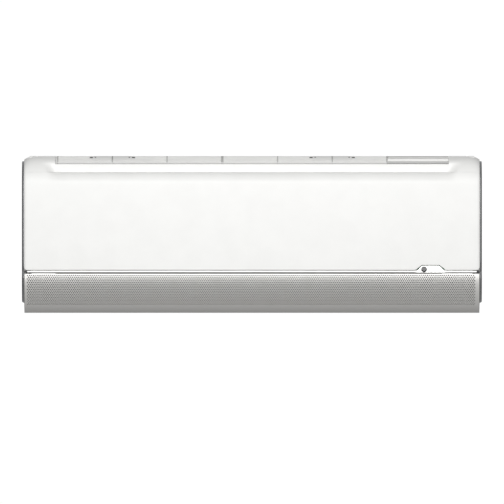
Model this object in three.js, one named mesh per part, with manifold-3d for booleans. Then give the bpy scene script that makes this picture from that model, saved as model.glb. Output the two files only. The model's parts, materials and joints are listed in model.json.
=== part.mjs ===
// Wall-mounted indoor unit of a mini split air conditioner, in millimetres.
// +X runs to the right as a person in the room sees it, +Z is up and the room is at -Y.
// Sections are drawn in (d, z), where d is the distance from the wall, so y = -d.
// The origin is on the wall face of the mounting plate, at half the unit's height.
import * as THREE from 'three';
import { mergeVertices } from 'three/addons/utils/BufferGeometryUtils.js';
import Module from 'manifold-3d';

const wasm = await Module();
wasm.setup();

// ---- driving dimensions ----
const bodyHalfWidth = 465.7;
const halfHeight = 160.5;
const trimProud = 4.3;
const gap = 0.3;
const wall = 2.5;

// Front panel: crowned ends, a set-back fascia between them, hinged near the top.
const crownRadius = 60;
const crownCentreDepth = 135;
const frontDepth = 195;
const panelFootDepth = 190;
const fasciaDepth = 173.5;
const fasciaTop = halfHeight - 16.8;
const creaseZ = fasciaTop - 16.2;
const panelRounding = 24.5;
const grilleHalfWidth = bodyHalfWidth - 63.7;
const blendWidth = 24;
const endDrop = 7;
const endDropWidth = 30;
const panelSeamDepth = 150;
const panelPivotDepth = 130;
const panelPivotZ = halfHeight - 7;
const panelSkirt = 11;
const pinRadius = 2.5;

// Perforated outlet door: a quarter-round shell that drops open about a low hinge.
const doorTop = -halfHeight + 80.5;
const panelBottom = doorTop + 8;
const doorRadius = 89;
const doorTurn = 43;
const doorFootRadius = 62;
const doorPivotDepth = 128;
const doorPivotZ = -halfHeight + 8.5;
const doorHubRadius = 8;
const doorHubClearance = 1.6;
const hingeEarRadius = 5.4;
const doorBand = 11;
const doorEndThickness = 5;

// Fan and the scroll around it.
const fanDepth = 96;
const fanZ = -halfHeight + 120.5;
const fanRadius = 47;
const fanLeft = -bodyHalfWidth + 80.7;
const fanRight = bodyHalfWidth - 203.7;
const fanBlades = 18;
const fanRings = 2;
const shaftRadius = 5;
const motorRadius = 34;
const motorLength = 60;

// Top inlet with two filter cassettes.
const filterLeftEnd = -bodyHalfWidth + 67.2;
const electricsWidth = 188.6;
const filterWidth = (bodyHalfWidth - electricsWidth - filterLeftEnd) / 2;
const filterThickness = 4;
const filterTop = halfHeight - 3.5;
const filterRear = 22;
const filterFrontDepth = 168;
const filterFrontZ = halfHeight - 14;
const filterBends = 140;
const ribWidth = 2.4;
const crossRibs = 3;
const tabHalf = 40;
const slatPitch = 13;

// Chassis.
const endFrameInner = bodyHalfWidth - 13.7;
const chassisWall = 3;
const plateThickness = 1.5;
const plateHalfWidth = bodyHalfWidth - 75.7;
const plateTop = halfHeight - 32.5;
const plateBottom = -halfHeight + 32.5;
const hookX = [-plateHalfWidth + 90, plateHalfWidth - 90];
const hookWidth = 40;
const hookTop = plateTop - 4;
const roomLeft = fanLeft - 15.3;
const roomRight = fanRight + 9.3;
const caseBack = 3;
const caseTop = halfHeight - 10.8;

// Electrical box.
const boxLeft = bodyHalfWidth - 103.7;
const boxRight = bodyHalfWidth - 27.7;
const boxTop = halfHeight - 48.5;
const boxBottom = fanZ + 2;

// Vanes in the outlet.
const vaneCount = 8;
const vaneFirst = fanLeft + 45;
const vanePitch = (fanRight + 22 - vaneFirst) / vaneCount;

const colours = {
  white: { color: 0xf2f2ef, roughness: 0.45, metalness: 0 },
  grey: { color: 0xb9bab8, roughness: 0.6, metalness: 0 },
  dark: { color: 0x2a2b2c, roughness: 0.6, metalness: 0 },
  silver: { color: 0xc4c5c3, roughness: 0.35, metalness: 0.6 },
  chrome: { color: 0xd0d2d4, roughness: 0.15, metalness: 1 },
  steel: { color: 0xa9adb0, roughness: 0.4, metalness: 0.9 },
  copper: { color: 0xb87349, roughness: 0.35, metalness: 1 },
  brass: { color: 0xc9a45a, roughness: 0.35, metalness: 1 },
  fins: { color: 0xaeb6ba, roughness: 0.4, metalness: 0.8 },
  board: { color: 0x2f6b46, roughness: 0.6, metalness: 0 },
};

const group = new THREE.Group();

// ---- small tools ----
const radians = (degrees) => (degrees * Math.PI) / 180;

// A closed outline from (d, z) pairs.
function outline(points) {
  return new THREE.Shape(points.map(([d, z]) => new THREE.Vector2(d, z)));
}

// Points on an arc in (d, z); angles in degrees from the +d direction, towards +z.
function arc(d, z, radius, from, to, steps) {
  const points = [];
  for (let i = 0; i <= steps; i += 1) {
    const angle = radians(from + ((to - from) * i) / steps);
    points.push([d + radius * Math.cos(angle), z + radius * Math.sin(angle)]);
  }
  return points;
}

// Turns a geometry drawn in (d, z, w) so that w runs along X and d points away from the wall.
function alongX(geometry, start) {
  const turn = new THREE.Matrix4().set(0, 0, -1, start, -1, 0, 0, 0, 0, 1, 0, 0, 0, 0, 0, 1);
  return geometry.applyMatrix4(turn);
}

// A (d, z) outline carried from x0 to x1.
function extrudeX(points, x0, x1) {
  const shape = outline(points);
  const options = { depth: x1 - x0, bevelEnabled: false, steps: 1 };
  return alongX(new THREE.ExtrudeGeometry(shape, options), x1);
}

// A block between two x, two d and two z values.
function block(x0, x1, d0, d1, z0, z1) {
  const geometry = new THREE.BoxGeometry(x1 - x0, d1 - d0, z1 - z0);
  return geometry.translate((x0 + x1) / 2, -(d0 + d1) / 2, (z0 + z1) / 2);
}

// A round bar from x0 to x1 at (d, z).
function barX(x0, x1, d, z, radius, sides = 16) {
  const geometry = new THREE.CylinderGeometry(radius, radius, x1 - x0, sides);
  return geometry.rotateZ(Math.PI / 2).translate((x0 + x1) / 2, -d, z);
}

// A round bar along Y from depth d0 to d1.
function barY(x, z, d0, d1, radius, sides = 12) {
  const geometry = new THREE.CylinderGeometry(radius, radius, d1 - d0, sides);
  return geometry.translate(x, -(d0 + d1) / 2, z);
}

// A round bar along Z from z0 to z1.
function barZ(x, d, z0, z1, radius, sides = 12) {
  const geometry = new THREE.CylinderGeometry(radius, radius, z1 - z0, sides);
  return geometry.rotateX(Math.PI / 2).translate(x, -d, (z0 + z1) / 2);
}

function solid(geometry) {
  const bare = geometry.clone();
  bare.deleteAttribute('normal');
  bare.deleteAttribute('uv');
  const merged = mergeVertices(bare, 1e-4);
  return new wasm.Manifold(new wasm.Mesh({
    numProp: 3,
    vertProperties: new Float32Array(merged.attributes.position.array),
    triVerts: new Uint32Array(merged.index.array),
  }));
}

function geometryOf(body) {
  const mesh = body.getMesh();
  const geometry = new THREE.BufferGeometry();
  geometry.setAttribute('position', new THREE.BufferAttribute(mesh.vertProperties, 3));
  geometry.setIndex(new THREE.BufferAttribute(mesh.triVerts, 1));
  return geometry;
}

// Joins the first list and cuts the second list out of it.
function join(parts, cuts = []) {
  let body = solid(parts[0]);
  for (const part of parts.slice(1)) {
    body = body.add(solid(part));
  }
  for (const cut of cuts) {
    body = body.subtract(solid(cut));
  }
  return geometryOf(body);
}

function add(name, geometry, colour) {
  const mesh = new THREE.Mesh(geometry, new THREE.MeshStandardMaterial(colours[colour]));
  mesh.name = name;
  group.add(mesh);
  return mesh;
}

// ---- the body's outer surface ----
const smooth = (t) => t * t * (3 - 2 * t);
const limit = (t) => Math.min(1, Math.max(0, t));
const crownCentreZ = halfHeight - crownRadius;
const roundingZ = creaseZ - panelRounding;
const seamZ = crownCentreZ + Math.sqrt(crownRadius ** 2 - (panelSeamDepth - crownCentreDepth) ** 2);

// The front below the crown leans back a little towards the foot.
function frontFace(z) {
  const t = limit((crownCentreZ - z) / (crownCentreZ - panelBottom));
  return frontDepth - (frontDepth - panelFootDepth) * t * t;
}

// Depth of the crowned section at the ends.
function crownDepth(z) {
  if (z < crownCentreZ) return frontFace(z);
  return crownCentreDepth + Math.sqrt(Math.max(0, crownRadius ** 2 - (z - crownCentreZ) ** 2));
}

// Depth of the section between the ends: a set-back fascia above a rounded panel edge.
function fasciaSection(z) {
  if (z >= creaseZ) {
    const t = limit((z - fasciaTop) / (seamZ - fasciaTop));
    return fasciaDepth - (fasciaDepth - panelSeamDepth) * t * t;
  }
  if (z < roundingZ) return frontFace(z);
  const face = frontFace(roundingZ);
  const drop = panelRounding - Math.sqrt(Math.max(0, panelRounding ** 2 - (z - roundingZ) ** 2));
  return face - (drop * (face - fasciaDepth)) / panelRounding;
}

// How far the top edge falls towards the two ends.
function topDrop(x, z) {
  const t = limit((Math.abs(x) - bodyHalfWidth + endDropWidth) / endDropWidth);
  return endDrop * t ** 3 * limit((z - crownCentreZ) / crownRadius);
}

function surfaceDepth(x, z) {
  const share = smooth(limit((Math.abs(x) - grilleHalfWidth) / blendWidth));
  return fasciaSection(z) + (crownDepth(z) - fasciaSection(z)) * share;
}

// Heights at which the panel's section is drawn, from its seam down to its foot.
function panelHeights() {
  const upper = [
    seamZ, seamZ - 4, seamZ - 9.5, fasciaTop, (fasciaTop + creaseZ) / 2, creaseZ + 0.3, creaseZ - 0.6,
  ];
  const round = [creaseZ - 3, creaseZ - 8.5, creaseZ - 16.5, roundingZ];
  const lower = [];
  const steps = 3;
  for (let i = 1; i <= steps; i += 1) {
    lower.push(roundingZ + ((panelBottom + 4 - roundingZ) * i) / steps);
  }
  return [...upper, ...round, ...lower, panelBottom + 1.2, panelBottom];
}

// The closed section of a skin at x: out along the surface, back at an inset.
function skinSection(x, heights, depthAt, inset) {
  const outer = heights.map((z) => [depthAt(x, z), z]);
  const last = outer.length - 1;
  outer[last][0] -= inset / 2;
  const inner = outer.map((point, i) => {
    const before = outer[Math.max(0, i - 1)];
    const after = outer[Math.min(last, i + 1)];
    const along = new THREE.Vector2(after[0] - before[0], after[1] - before[1]).normalize();
    return [point[0] + along.y * inset, point[1] - along.x * inset];
  });
  inner[last] = [outer[last][0] - inset / 2, outer[last][1]];
  return [...outer, ...inner.reverse()].map(([d, z]) => [d, z - topDrop(x, z)]);
}

// A skin whose section changes along X: one station of the extrusion per listed x.
function loftX(stations, sectionAt) {
  const base = sectionAt(stations[0]);
  const options = { depth: stations.length - 1, steps: stations.length - 1, bevelEnabled: false };
  const geometry = new THREE.ExtrudeGeometry(outline(base), options);
  const sections = stations.map(sectionAt);
  const position = geometry.attributes.position;
  const find = (u, v) => {
    let best = 0;
    base.forEach(([d, z], i) => {
      const here = Math.hypot(d - u, z - v);
      if (here < Math.hypot(base[best][0] - u, base[best][1] - v)) best = i;
    });
    return best;
  };
  for (let i = 0; i < position.count; i += 1) {
    const corner = find(position.getX(i), position.getY(i));
    const station = Math.round(position.getZ(i));
    const [d, z] = sections[station][corner];
    position.setXYZ(i, stations[station], -d, z);
  }
  return geometry;
}

function panelStations() {
  const half = [0, grilleHalfWidth];
  for (const share of [0.25, 0.5, 0.75, 1]) {
    half.push(grilleHalfWidth + blendWidth * share);
  }
  half.push(bodyHalfWidth - 15.7, bodyHalfWidth - 6.7, bodyHalfWidth);
  return [...half.slice(1).reverse(), ...half.map((x) => -x)];
}

// ---- front panel: one white moulding with its fascia, crowned ends and two hinge arms ----
const armX = bodyHalfWidth - 25.7;
const armThickness = 4;
const panelArmX = [armX - armThickness / 2, armX + armThickness / 2];

const atPivot = (d, z) => [panelPivotDepth + d, panelPivotZ + z];

function makeFrontPanel() {
  const shell = loftX(panelStations(), (x) => skinSection(x, panelHeights(), surfaceDepth, wall));
  const parts = [shell];
  for (const side of [-1, 1]) {
    const inner = side * (bodyHalfWidth - wall);
    const outer = side * bodyHalfWidth;
    const stations = side > 0 ? [outer, inner] : [inner, outer];
    parts.push(loftX(stations, (x) => skinSection(x, panelHeights(), surfaceDepth, panelSkirt)));
  }
  for (const side of [-1, 1]) {
    const [near, far] = panelArmX;
    const x0 = side > 0 ? near : -far;
    const x1 = side > 0 ? far : -near;
    const arm = [
      ...arc(panelPivotDepth, panelPivotZ, 4, 100, 250, 6),
      atPivot(18, -5.5), atPivot(24, -9.5), atPivot(37.5, -10.3), atPivot(48, -20.5),
      atPivot(51, -16.5), atPivot(42, -6.5), atPivot(30, 0), [panelSeamDepth + 1.5, seamZ - 2.4],
    ];
    parts.push(extrudeX(arm, x0, x1));
    const pinEnd = side > 0 ? far + 5 : -far - 5;
    const ends = [side * armX, pinEnd].sort((a, b) => a - b);
    parts.push(barX(ends[0], ends[1], panelPivotDepth, panelPivotZ, pinRadius));
  }
  const notch = block(
    -grilleHalfWidth, grilleHalfWidth, panelPivotDepth, frontDepth, fasciaTop, halfHeight + 5,
  );
  return join(parts, [notch, bayPrism(panelPivotDepth, frontDepth + 5, 1)]);
}

// ---- fixed casing ----
const casingTopThickness = 2.5;
const frameEdge = endFrameInner + chassisWall + gap;
const coverInner = frameEdge + gap;

// The casing's top between the wall and the panel's seam, following the crown's start.
const topEdgeDepth = 147.8;
function topSection(thickness) {
  const reach = topEdgeDepth - crownCentreDepth;
  const turn = (radius) => (Math.acos(reach / radius) * 180) / Math.PI;
  const outer = arc(crownCentreDepth, crownCentreZ, crownRadius, 90, turn(crownRadius), 3);
  const low = crownRadius - thickness;
  const inner = arc(crownCentreDepth, crownCentreZ, low, turn(low), 90, 3);
  return [[caseBack, halfHeight], ...outer, ...inner, [caseBack, halfHeight - thickness]].reverse();
}

const railFront = 166;
const railBack = 155;
const railTop = fasciaTop - 1.4;
const railBottom = railTop - 11.3;
const footTop = panelBottom - gap;
const footLow = doorTop + 1.2;
const footBack = 153;
const footFront = 183;
const legInner = endFrameInner - 7.5;
const frameHalf = endFrameInner - gap;
const electricsLeft = filterLeftEnd + 2 * filterWidth + gap;
const lidRight = grilleHalfWidth - 0.4;
const slatStart = 34;

// The section that the filters and the lid over the electrics share.
function filterSection(thickness) {
  const outer = [
    [filterRear, filterTop],
    [filterBends, filterTop],
    [filterBends + 10, filterTop - 1.4],
    [filterBends + 19, filterTop - 4.6],
    [filterFrontDepth, filterFrontZ],
  ];
  const inner = [
    [filterFrontDepth - thickness * 0.75, filterFrontZ - thickness * 0.66],
    [filterBends + 17, filterTop - 4.2 - thickness],
    [filterBends + 9, filterTop - 1.3 - thickness],
    [filterBends, filterTop - thickness],
    [filterRear, filterTop - thickness],
  ];
  return [...outer, ...inner].reverse();
}

// Cross slats over the section: some on its flat part, two on its sloping front.
function slats(x0, x1) {
  const bars = [];
  for (let d = slatStart; d < filterBends + 4; d += slatPitch) {
    bars.push(block(x0, x1, d, d + 2, filterTop - 1, filterTop + 1.4));
  }
  const slope = [[filterBends + 12, filterTop - 1.6], [filterBends + 20.5, filterTop - 4.8]];
  for (const [d, z] of slope) {
    bars.push(block(x0, x1, d - 1, d + 1, z - 1.5, z + 1.4));
  }
  return bars;
}

function makeFrontFrame() {
  const legSection = [
    [topEdgeDepth - 10, halfHeight - 1.4], [topEdgeDepth - 0.6, halfHeight - 3],
    [topEdgeDepth - 0.6, halfHeight - 11.5], atPivot(26, -12.5), [railFront, railBottom + 3],
    [footFront - 3, creaseZ - 17.5], [footFront + 2.5, creaseZ - 31.5], [footFront, footLow + 39],
    [footFront, footLow], [footFront - 9, footLow], [footFront - 9, footLow + 39],
    [footFront - 6, creaseZ - 31.5], [footFront - 13, creaseZ - 19.5], atPivot(20, -21.5),
    atPivot(-10, -8.5), [panelPivotDepth - 10, halfHeight - 1.4],
  ].reverse();
  const parts = [
    block(-frameHalf, frameHalf, caseBack, filterRear - gap, caseTop + 2.3, halfHeight),
    extrudeX(topSection(casingTopThickness), -frameEdge + gap, -grilleHalfWidth),
    extrudeX(topSection(casingTopThickness), grilleHalfWidth, frameEdge - gap),
    extrudeX(filterSection(filterThickness), electricsLeft, lidRight),
    ...slats(electricsLeft, lidRight),
    block(electricsLeft, frameHalf, caseBack + 2, filterRear + 5, caseTop + gap, filterTop - 0.5),
    block(-frameHalf, frameHalf, railBack, railFront, railBottom, railTop),
    block(-frameHalf, frameHalf, footBack, footFront, footLow, footTop),
    block(-grilleHalfWidth - 2, -lidRight, caseBack, topEdgeDepth - 2, caseTop + gap, halfHeight - 1),
    block(lidRight - 0.5, grilleHalfWidth + 2, caseBack, topEdgeDepth - 2, caseTop + gap, halfHeight - 1),
  ];
  const cuts = [];
  for (const side of [-1, 1]) {
    const legX = side > 0 ? legInner : -frameHalf;
    parts.push(extrudeX(legSection, legX, legX + frameHalf - legInner));
    cuts.push(barX(legX - 1, legX + 9, panelPivotDepth, panelPivotZ, pinRadius + gap));
    const slotX = side * armX;
    const half = armThickness / 2 + 1;
    cuts.push(block(
      slotX - half, slotX + half, panelPivotDepth - 8, topEdgeDepth + 2, panelPivotZ - 3.5,
      halfHeight + 2,
    ));
  }
  for (const x of railScrewX) {
    cuts.push(barZ(x, railScrewDepth, footLow - 1, footTop + 1, screwRadius + gap, 10));
  }
  return join(parts, cuts);
}

// The outline that the side covers fill, inside the panel's skirt and the door's band.
const lobeRadius = doorRadius - doorBand - 3;
const doorCentreDepth = frontDepth - doorRadius;
const doorCentreZ = doorTop - 1;
const footArcEnd = doorCentreZ - doorRadius * Math.sin(radians(doorTurn));
const footRadius = (halfHeight + footArcEnd) / (1 - Math.sin(radians(doorTurn)));
const footCentreDepth = doorCentreDepth + (doorRadius - footRadius) * Math.cos(radians(doorTurn));
const footCentreZ = footRadius - halfHeight;
const bottomFront = doorPivotDepth - 11.5;

// How far an inset outline drops where the crown turns over.
function crownShift(inset, z) {
  return inset * 0.5 * limit(z / (halfHeight - 10));
}

function coverOutline(x) {
  const inset = panelSkirt + 1;
  const heights = [
    halfHeight - 10.5, fasciaTop, creaseZ + 4, creaseZ - 9.5, crownCentreZ, 0, panelBottom + 2,
  ];
  const front = heights.map((z) => [surfaceDepth(x, z) - inset, z - crownShift(inset, z)]);
  const foot = footRadius - doorBand - 3;
  return [
    [caseBack, halfHeight - 10], [caseBack + 3, halfHeight - 3], [caseBack + 10, halfHeight],
    [crownCentreDepth, halfHeight], [topEdgeDepth, halfHeight - 1.3],
    [topEdgeDepth - 2.5, halfHeight - 14], ...front,
    ...arc(doorCentreDepth, doorCentreZ, lobeRadius, 0, -doorTurn, 5),
    ...arc(footCentreDepth, footCentreZ, foot, -doorTurn, -84, 3).slice(1),
    [bottomFront, footCentreZ - foot], [bottomFront, -halfHeight],
    [caseBack + 12, -halfHeight], [caseBack, -halfHeight + 12],
  ].map(([d, z]) => [d, z - topDrop(x, z)]);
}

function makeSideCover(side) {
  const xs = [bodyHalfWidth, bodyHalfWidth - 3, bodyHalfWidth - 6.5, coverInner];
  const stations = side > 0 ? xs : xs.map((x) => -x).reverse();
  const shell = loftX(stations, (x) => coverOutline(Math.abs(x)).reverse());
  const x0 = side > 0 ? coverInner : -bodyHalfWidth;
  const hub = barX(
    x0 - 1, x0 + bodyHalfWidth - coverInner + 1, doorPivotDepth, doorPivotZ,
    doorHubRadius + doorHubClearance, 20,
  );
  return join([shell], [hub]);
}

// The bright edging that stands proud of the side: two lobes that meet at the panel's foot.
const trimBack = 14;
function trimOutline(inset) {
  const pinch = 3;
  const heights = [
    halfHeight - 10.5, fasciaTop - 6, creaseZ - 5.5, crownCentreZ, crownCentreZ / 2, 0, panelBottom + 8,
  ];
  const upper = heights.map(
    (z) => [surfaceDepth(bodyHalfWidth, z) - 6 - inset, z - crownShift(inset, z)],
  );
  const lower = arc(doorCentreDepth, doorCentreZ, doorRadius - 5 - inset, -3, -doorTurn, 6);
  return [
    [trimBack + inset, fasciaTop - inset], ...upper,
    [panelFootDepth - 6 - pinch - inset, doorTop + 4], ...lower,
    [panelSeamDepth - inset, -halfHeight + 13.5 + inset],
    [trimBack + 4 + inset, -halfHeight + 13.5 + inset],
  ];
}

function makeSideTrim(side) {
  const x0 = side > 0 ? bodyHalfWidth + gap : -bodyHalfWidth - trimProud;
  const x1 = x0 + trimProud - gap;
  const plate = extrudeX(trimOutline(0).reverse(), x0, x1);
  const upper = trimOutline(5).filter(([, z]) => z > panelBottom + 2);
  const window = [
    ...upper, [panelFootDepth - 10, panelBottom + 2], [trimBack + 5, panelBottom + 2],
  ];
  return join([plate], [extrudeX(window.reverse(), x0 - 1, x1 + 1)]);
}

// The thin silver strip between the panel and the door, with the raised sensor bay.
const stripBack = footFront + gap;
const stripFront = 189;
const bayLeft = bodyHalfWidth - 132;
const bayRight = bayLeft + 63.1;
const bayTop = panelBottom + 8.3;
const baySlope = 14.3;
const lensX = bayLeft + 18;
const lensZ = panelBottom + 0.6;
const lensRadius = 6;

// The sensor bay's trapezoid from depth d0 to d1, grown by a margin all round.
function bayPrism(d0, d1, margin) {
  const bay = outline([
    [bayLeft - margin, footTop - 1.5], [bayRight + margin, footTop - 1.5],
    [bayRight - baySlope + margin / 2, bayTop + margin],
    [bayLeft + baySlope - margin / 2, bayTop + margin],
  ]);
  const prism = new THREE.ExtrudeGeometry(bay, { depth: d1 - d0, bevelEnabled: false });
  return prism.rotateX(Math.PI / 2).translate(0, -d0, 0);
}

function makeTrimStrip() {
  const strip = block(-frameHalf, frameHalf, stripBack, stripFront, footLow + 0.5, footTop - 0.5);
  const raised = bayPrism(stripBack, stripFront, 0);
  return join([strip, raised], [barY(lensX, lensZ, stripBack + 1, stripFront + 1, lensRadius + gap)]);
}

// ---- perforated outlet door ----
const doorHalf = bodyHalfWidth - gap;

function doorArcs(inset) {
  const upper = arc(doorCentreDepth, doorCentreZ, doorRadius - inset, 0.6, -doorTurn, 10);
  const lower = arc(footCentreDepth, footCentreZ, footRadius - inset, -doorTurn, -90, 7);
  return [...upper, ...lower.slice(1)];
}

function makeDoor() {
  const shell = [...doorArcs(0), ...doorArcs(wall).reverse()];
  const band = [...doorArcs(0), ...doorArcs(doorBand).reverse()];
  const parts = [extrudeX(shell, -doorHalf, doorHalf)];
  for (const side of [-1, 1]) {
    const [x0, x1] = side > 0 ? [doorHalf - doorEndThickness, doorHalf]
      : [-doorHalf, -doorHalf + doorEndThickness];
    parts.push(extrudeX(band, x0, x1));
    parts.push(barX(x0, x1, doorPivotDepth, doorPivotZ, doorHubRadius, 20));
    const pinEnd = side > 0 ? endFrameInner + gap : -endFrameInner - gap;
    const ends = [side * (doorHalf - 1), pinEnd].sort((a, b) => a - b);
    parts.push(barX(ends[0], ends[1], doorPivotDepth, doorPivotZ, pinRadius + 0.5));
  }
  return join(parts);
}

// ---- filters and inlet grille ----
function makeFilter(index) {
  const x0 = filterLeftEnd + index * filterWidth + gap;
  const x1 = x0 + filterWidth - gap;
  const bay = (x1 - x0 - ribWidth) / crossRibs;
  const parts = [extrudeX(filterSection(1.4), x0, x1), ...slats(x0, x1)];
  for (let i = 0; i <= crossRibs; i += 1) {
    const x = x0 + bay * i;
    parts.push(extrudeX(filterSection(filterThickness), x, x + ribWidth));
  }
  const tabMiddle = x0 + bay * (index + 1) + ribWidth / 2;
  const tab = [
    [filterBends + 14, filterTop - 1.5], [filterBends + 17, filterTop + 0.5],
    [filterFrontDepth - 0.5, filterFrontZ + 4], [filterFrontDepth - 3, filterFrontZ + 1],
  ];
  parts.push(extrudeX(tab, tabMiddle - tabHalf, tabMiddle + tabHalf));
  return join(parts);
}

function makeInletGrille() {
  const left = filterLeftEnd + gap;
  const right = electricsLeft - 2 * gap;
  const parts = [];
  const level = filterTop - filterThickness - 1;
  for (const d of [filterRear + 2, 60, 98, 134]) {
    parts.push(block(left, right, d, d + 3, level - 8, level));
  }
  const ribs = 7;
  for (let i = 0; i < ribs; i += 1) {
    const x = left + ((right - left - 3) * i) / (ribs - 1);
    parts.push(block(x, x + 3, filterRear + 2, filterBends + 1, level - 7, level - 0.5));
  }
  return join(parts);
}

// ---- rear chassis: the wall side, the air scroll and the lip under the outlet ----
const lipEnd = [doorPivotDepth - 11, doorPivotZ - 2.5];
const scroll = [[152, 54], [180, 55], [200, 60], [220, 66], [240, 76], [255, 88], [265, 100.5]];
const coilTroughZ = fanZ + 54;

function scrollPoints(extra) {
  const points = scroll.map(([angle, reach]) => [
    fanDepth + (reach + extra) * Math.cos(radians(angle)),
    fanZ + (reach + extra) * Math.sin(radians(angle)),
  ]);
  return points;
}

const channelTop = fanZ - 30;

function makeRearChassis() {
  const inner = scrollPoints(0);
  const outer = scrollPoints(chassisWall);
  const back = caseBack + chassisWall;
  const section = [
    [caseBack, caseTop], [back, caseTop], [back, coilTroughZ + 3], [22, coilTroughZ - 4],
    [26, coilTroughZ], [26, coilTroughZ + 14], [29, coilTroughZ + 14], [29, coilTroughZ - 1],
    [52, coilTroughZ - 1], [55, coilTroughZ + 5], [58, coilTroughZ + 5], [56, coilTroughZ - 4],
    ...inner, lipEnd, [lipEnd[0], lipEnd[1] - chassisWall], ...outer.reverse(),
    [46, coilTroughZ - 7], [back, coilTroughZ - 7], [back, channelTop], [caseBack, channelTop],
  ];
  const body = extrudeX(section, -frameHalf, frameHalf);
  const clearance = doorHubRadius + doorHubClearance;
  const doorHub = barX(-frameHalf - 1, frameHalf + 1, doorPivotDepth, doorPivotZ, clearance, 24);
  const cuts = [
    doorHub,
    block(-frameHalf - 1, roomLeft, back, doorPivotDepth + 2, -halfHeight, coilTroughZ + 20),
    block(roomRight, frameHalf + 1, back, doorPivotDepth + 2, -halfHeight, coilTroughZ + 20),
  ];
  for (const x of hookX) {
    cuts.push(block(x - hookWidth / 2 - 1, x + hookWidth / 2 + 1, 0, back + 1, hookTop - 8, hookTop + gap));
  }
  return join([body], cuts);
}

function makeBottomCover() {
  const front = bottomFront;
  const section = [
    [14, -halfHeight], [front, -halfHeight], [front, -halfHeight + 2.2], [14, -halfHeight + 2.2],
  ];
  return extrudeX(section, -frameEdge, frameEdge);
}

// ---- end frames that close the sides ----
function makeEndFrame(side) {
  const x0 = side > 0 ? endFrameInner : -endFrameInner - chassisWall;
  const body = [
    [caseBack, caseTop - 1.7], [topEdgeDepth - 2, halfHeight - 6], atPivot(27, -7.5),
    [railFront + 4, railBottom], [footFront - 4, creaseZ - 15.5], [footFront, creaseZ - 37.5],
    [footFront - 2, footLow + 39], [footFront - 4, footLow], [150, footLow - 4],
    [150, doorPivotZ + 24], [136, doorPivotZ + 14], [117, doorPivotZ + 8],
    [116, -halfHeight + 3.5], [14, -halfHeight + 3.5], [14, channelTop - 10],
    [caseBack, channelTop],
  ];
  const bearing = barX(x0 - 1, x0 + 5, doorPivotDepth, doorPivotZ, pinRadius + 0.5 + gap);
  const tongue = [
    [114, doorPivotZ + 14], [136, doorPivotZ + 16], ...arc(doorPivotDepth, doorPivotZ, hingeEarRadius, 0, -180, 8),
    [114, doorPivotZ + 5],
  ];
  return join([extrudeX(body, x0, x0 + chassisWall), extrudeX(tongue, x0, x0 + chassisWall)],
    [bearing]);
}

// ---- wall plate that the unit hangs on ----
function makeMountingPlate() {
  const parts = [block(-plateHalfWidth, plateHalfWidth, 0, plateThickness, plateBottom, plateTop)];
  for (const x of hookX) {
    const x0 = x - hookWidth / 2;
    const x1 = x + hookWidth / 2;
    parts.push(block(x0, x1, plateThickness - 0.5, 10, hookTop - 2, hookTop));
    parts.push(block(x0, x1, 8.5, 10, hookTop - 1, hookTop + 6));
    parts.push(block(x0, x1, plateThickness - 0.5, 8, channelTop - gap - 2, channelTop - gap));
  }
  const holes = [];
  for (const share of [-0.87, -0.51, -0.18, 0.18, 0.51, 0.87]) {
    const x = plateHalfWidth * share;
    for (const z of [plateBottom + 28, plateTop - 38]) {
      holes.push(barY(x, z, -1, plateThickness + 1, 3, 12));
    }
  }
  return join(parts, holes);
}

// ---- fan room ----
function makePartition(x0, cuts) {
  const floor = scrollPoints(-gap).reverse();
  const section = [
    [caseBack + chassisWall + gap, coilTroughZ + 22], [caseBack + chassisWall + gap, halfHeight - 20.5],
    [100, halfHeight - 18.5], [149, halfHeight - 36.5], [149, doorTop - 4], [157, doorTop - 20],
    [157, doorPivotZ + 24],
    [doorPivotDepth - 12, doorPivotZ + 4], ...floor, [56.8, coilTroughZ - 4],
    [58.6, coilTroughZ + 4],
    [58.6, coilTroughZ + 22],
  ];
  return join([extrudeX(section, x0, x0 + chassisWall)], cuts);
}

const bearingOuter = 11;
const vaneDepth = 148;
const vaneZ = doorPivotZ + 36;
const vanePin = 2;
const partitionLeft = roomLeft - 1.7;
const partitionRight = roomRight - chassisWall - gap;
const linkTop = fanZ - 58.5;
const linkThickness = 2.5;
const swingDepth = 112;
const swingArm = 10;
const motorStart = partitionRight + chassisWall + 5;
const motorShelfZ = fanZ - 37.7;
const cradleLength = 18;

function makePartitionLeft() {
  const x0 = partitionLeft;
  return makePartition(x0, [
    barX(x0 - 1, x0 + 5, fanDepth, fanZ, bearingOuter + gap, 20),
    barX(x0 - 1, x0 + 5, vaneDepth, vaneZ, vanePin + gap),
  ]);
}

function makePartitionRight() {
  const x0 = partitionRight;
  const x1 = x0 + chassisWall;
  const plate = makePartition(x0, [
    barX(x0 - 1, x1 + 1, fanDepth, fanZ, shaftRadius + 4, 20),
    barX(x0 - 1, x1 + 1, vaneDepth, vaneZ, vanePin + gap),
    block(x0 - 1, x1 + 1, 94, 110, linkTop - linkThickness - 2, linkTop + 4),
  ]);
  const ring = join(
    [barX(x1 - 0.5, x1 + cradleLength, fanDepth, fanZ, motorRadius + 4, 32)],
    [barX(x1 - 2, x1 + cradleLength + 1, fanDepth, fanZ, motorRadius + gap, 32)],
  );
  const shelf = block(x1 - 0.5, x1 + 22, 99, 125, motorShelfZ, motorShelfZ + 2);
  return join([plate, ring, shelf]);
}

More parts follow.
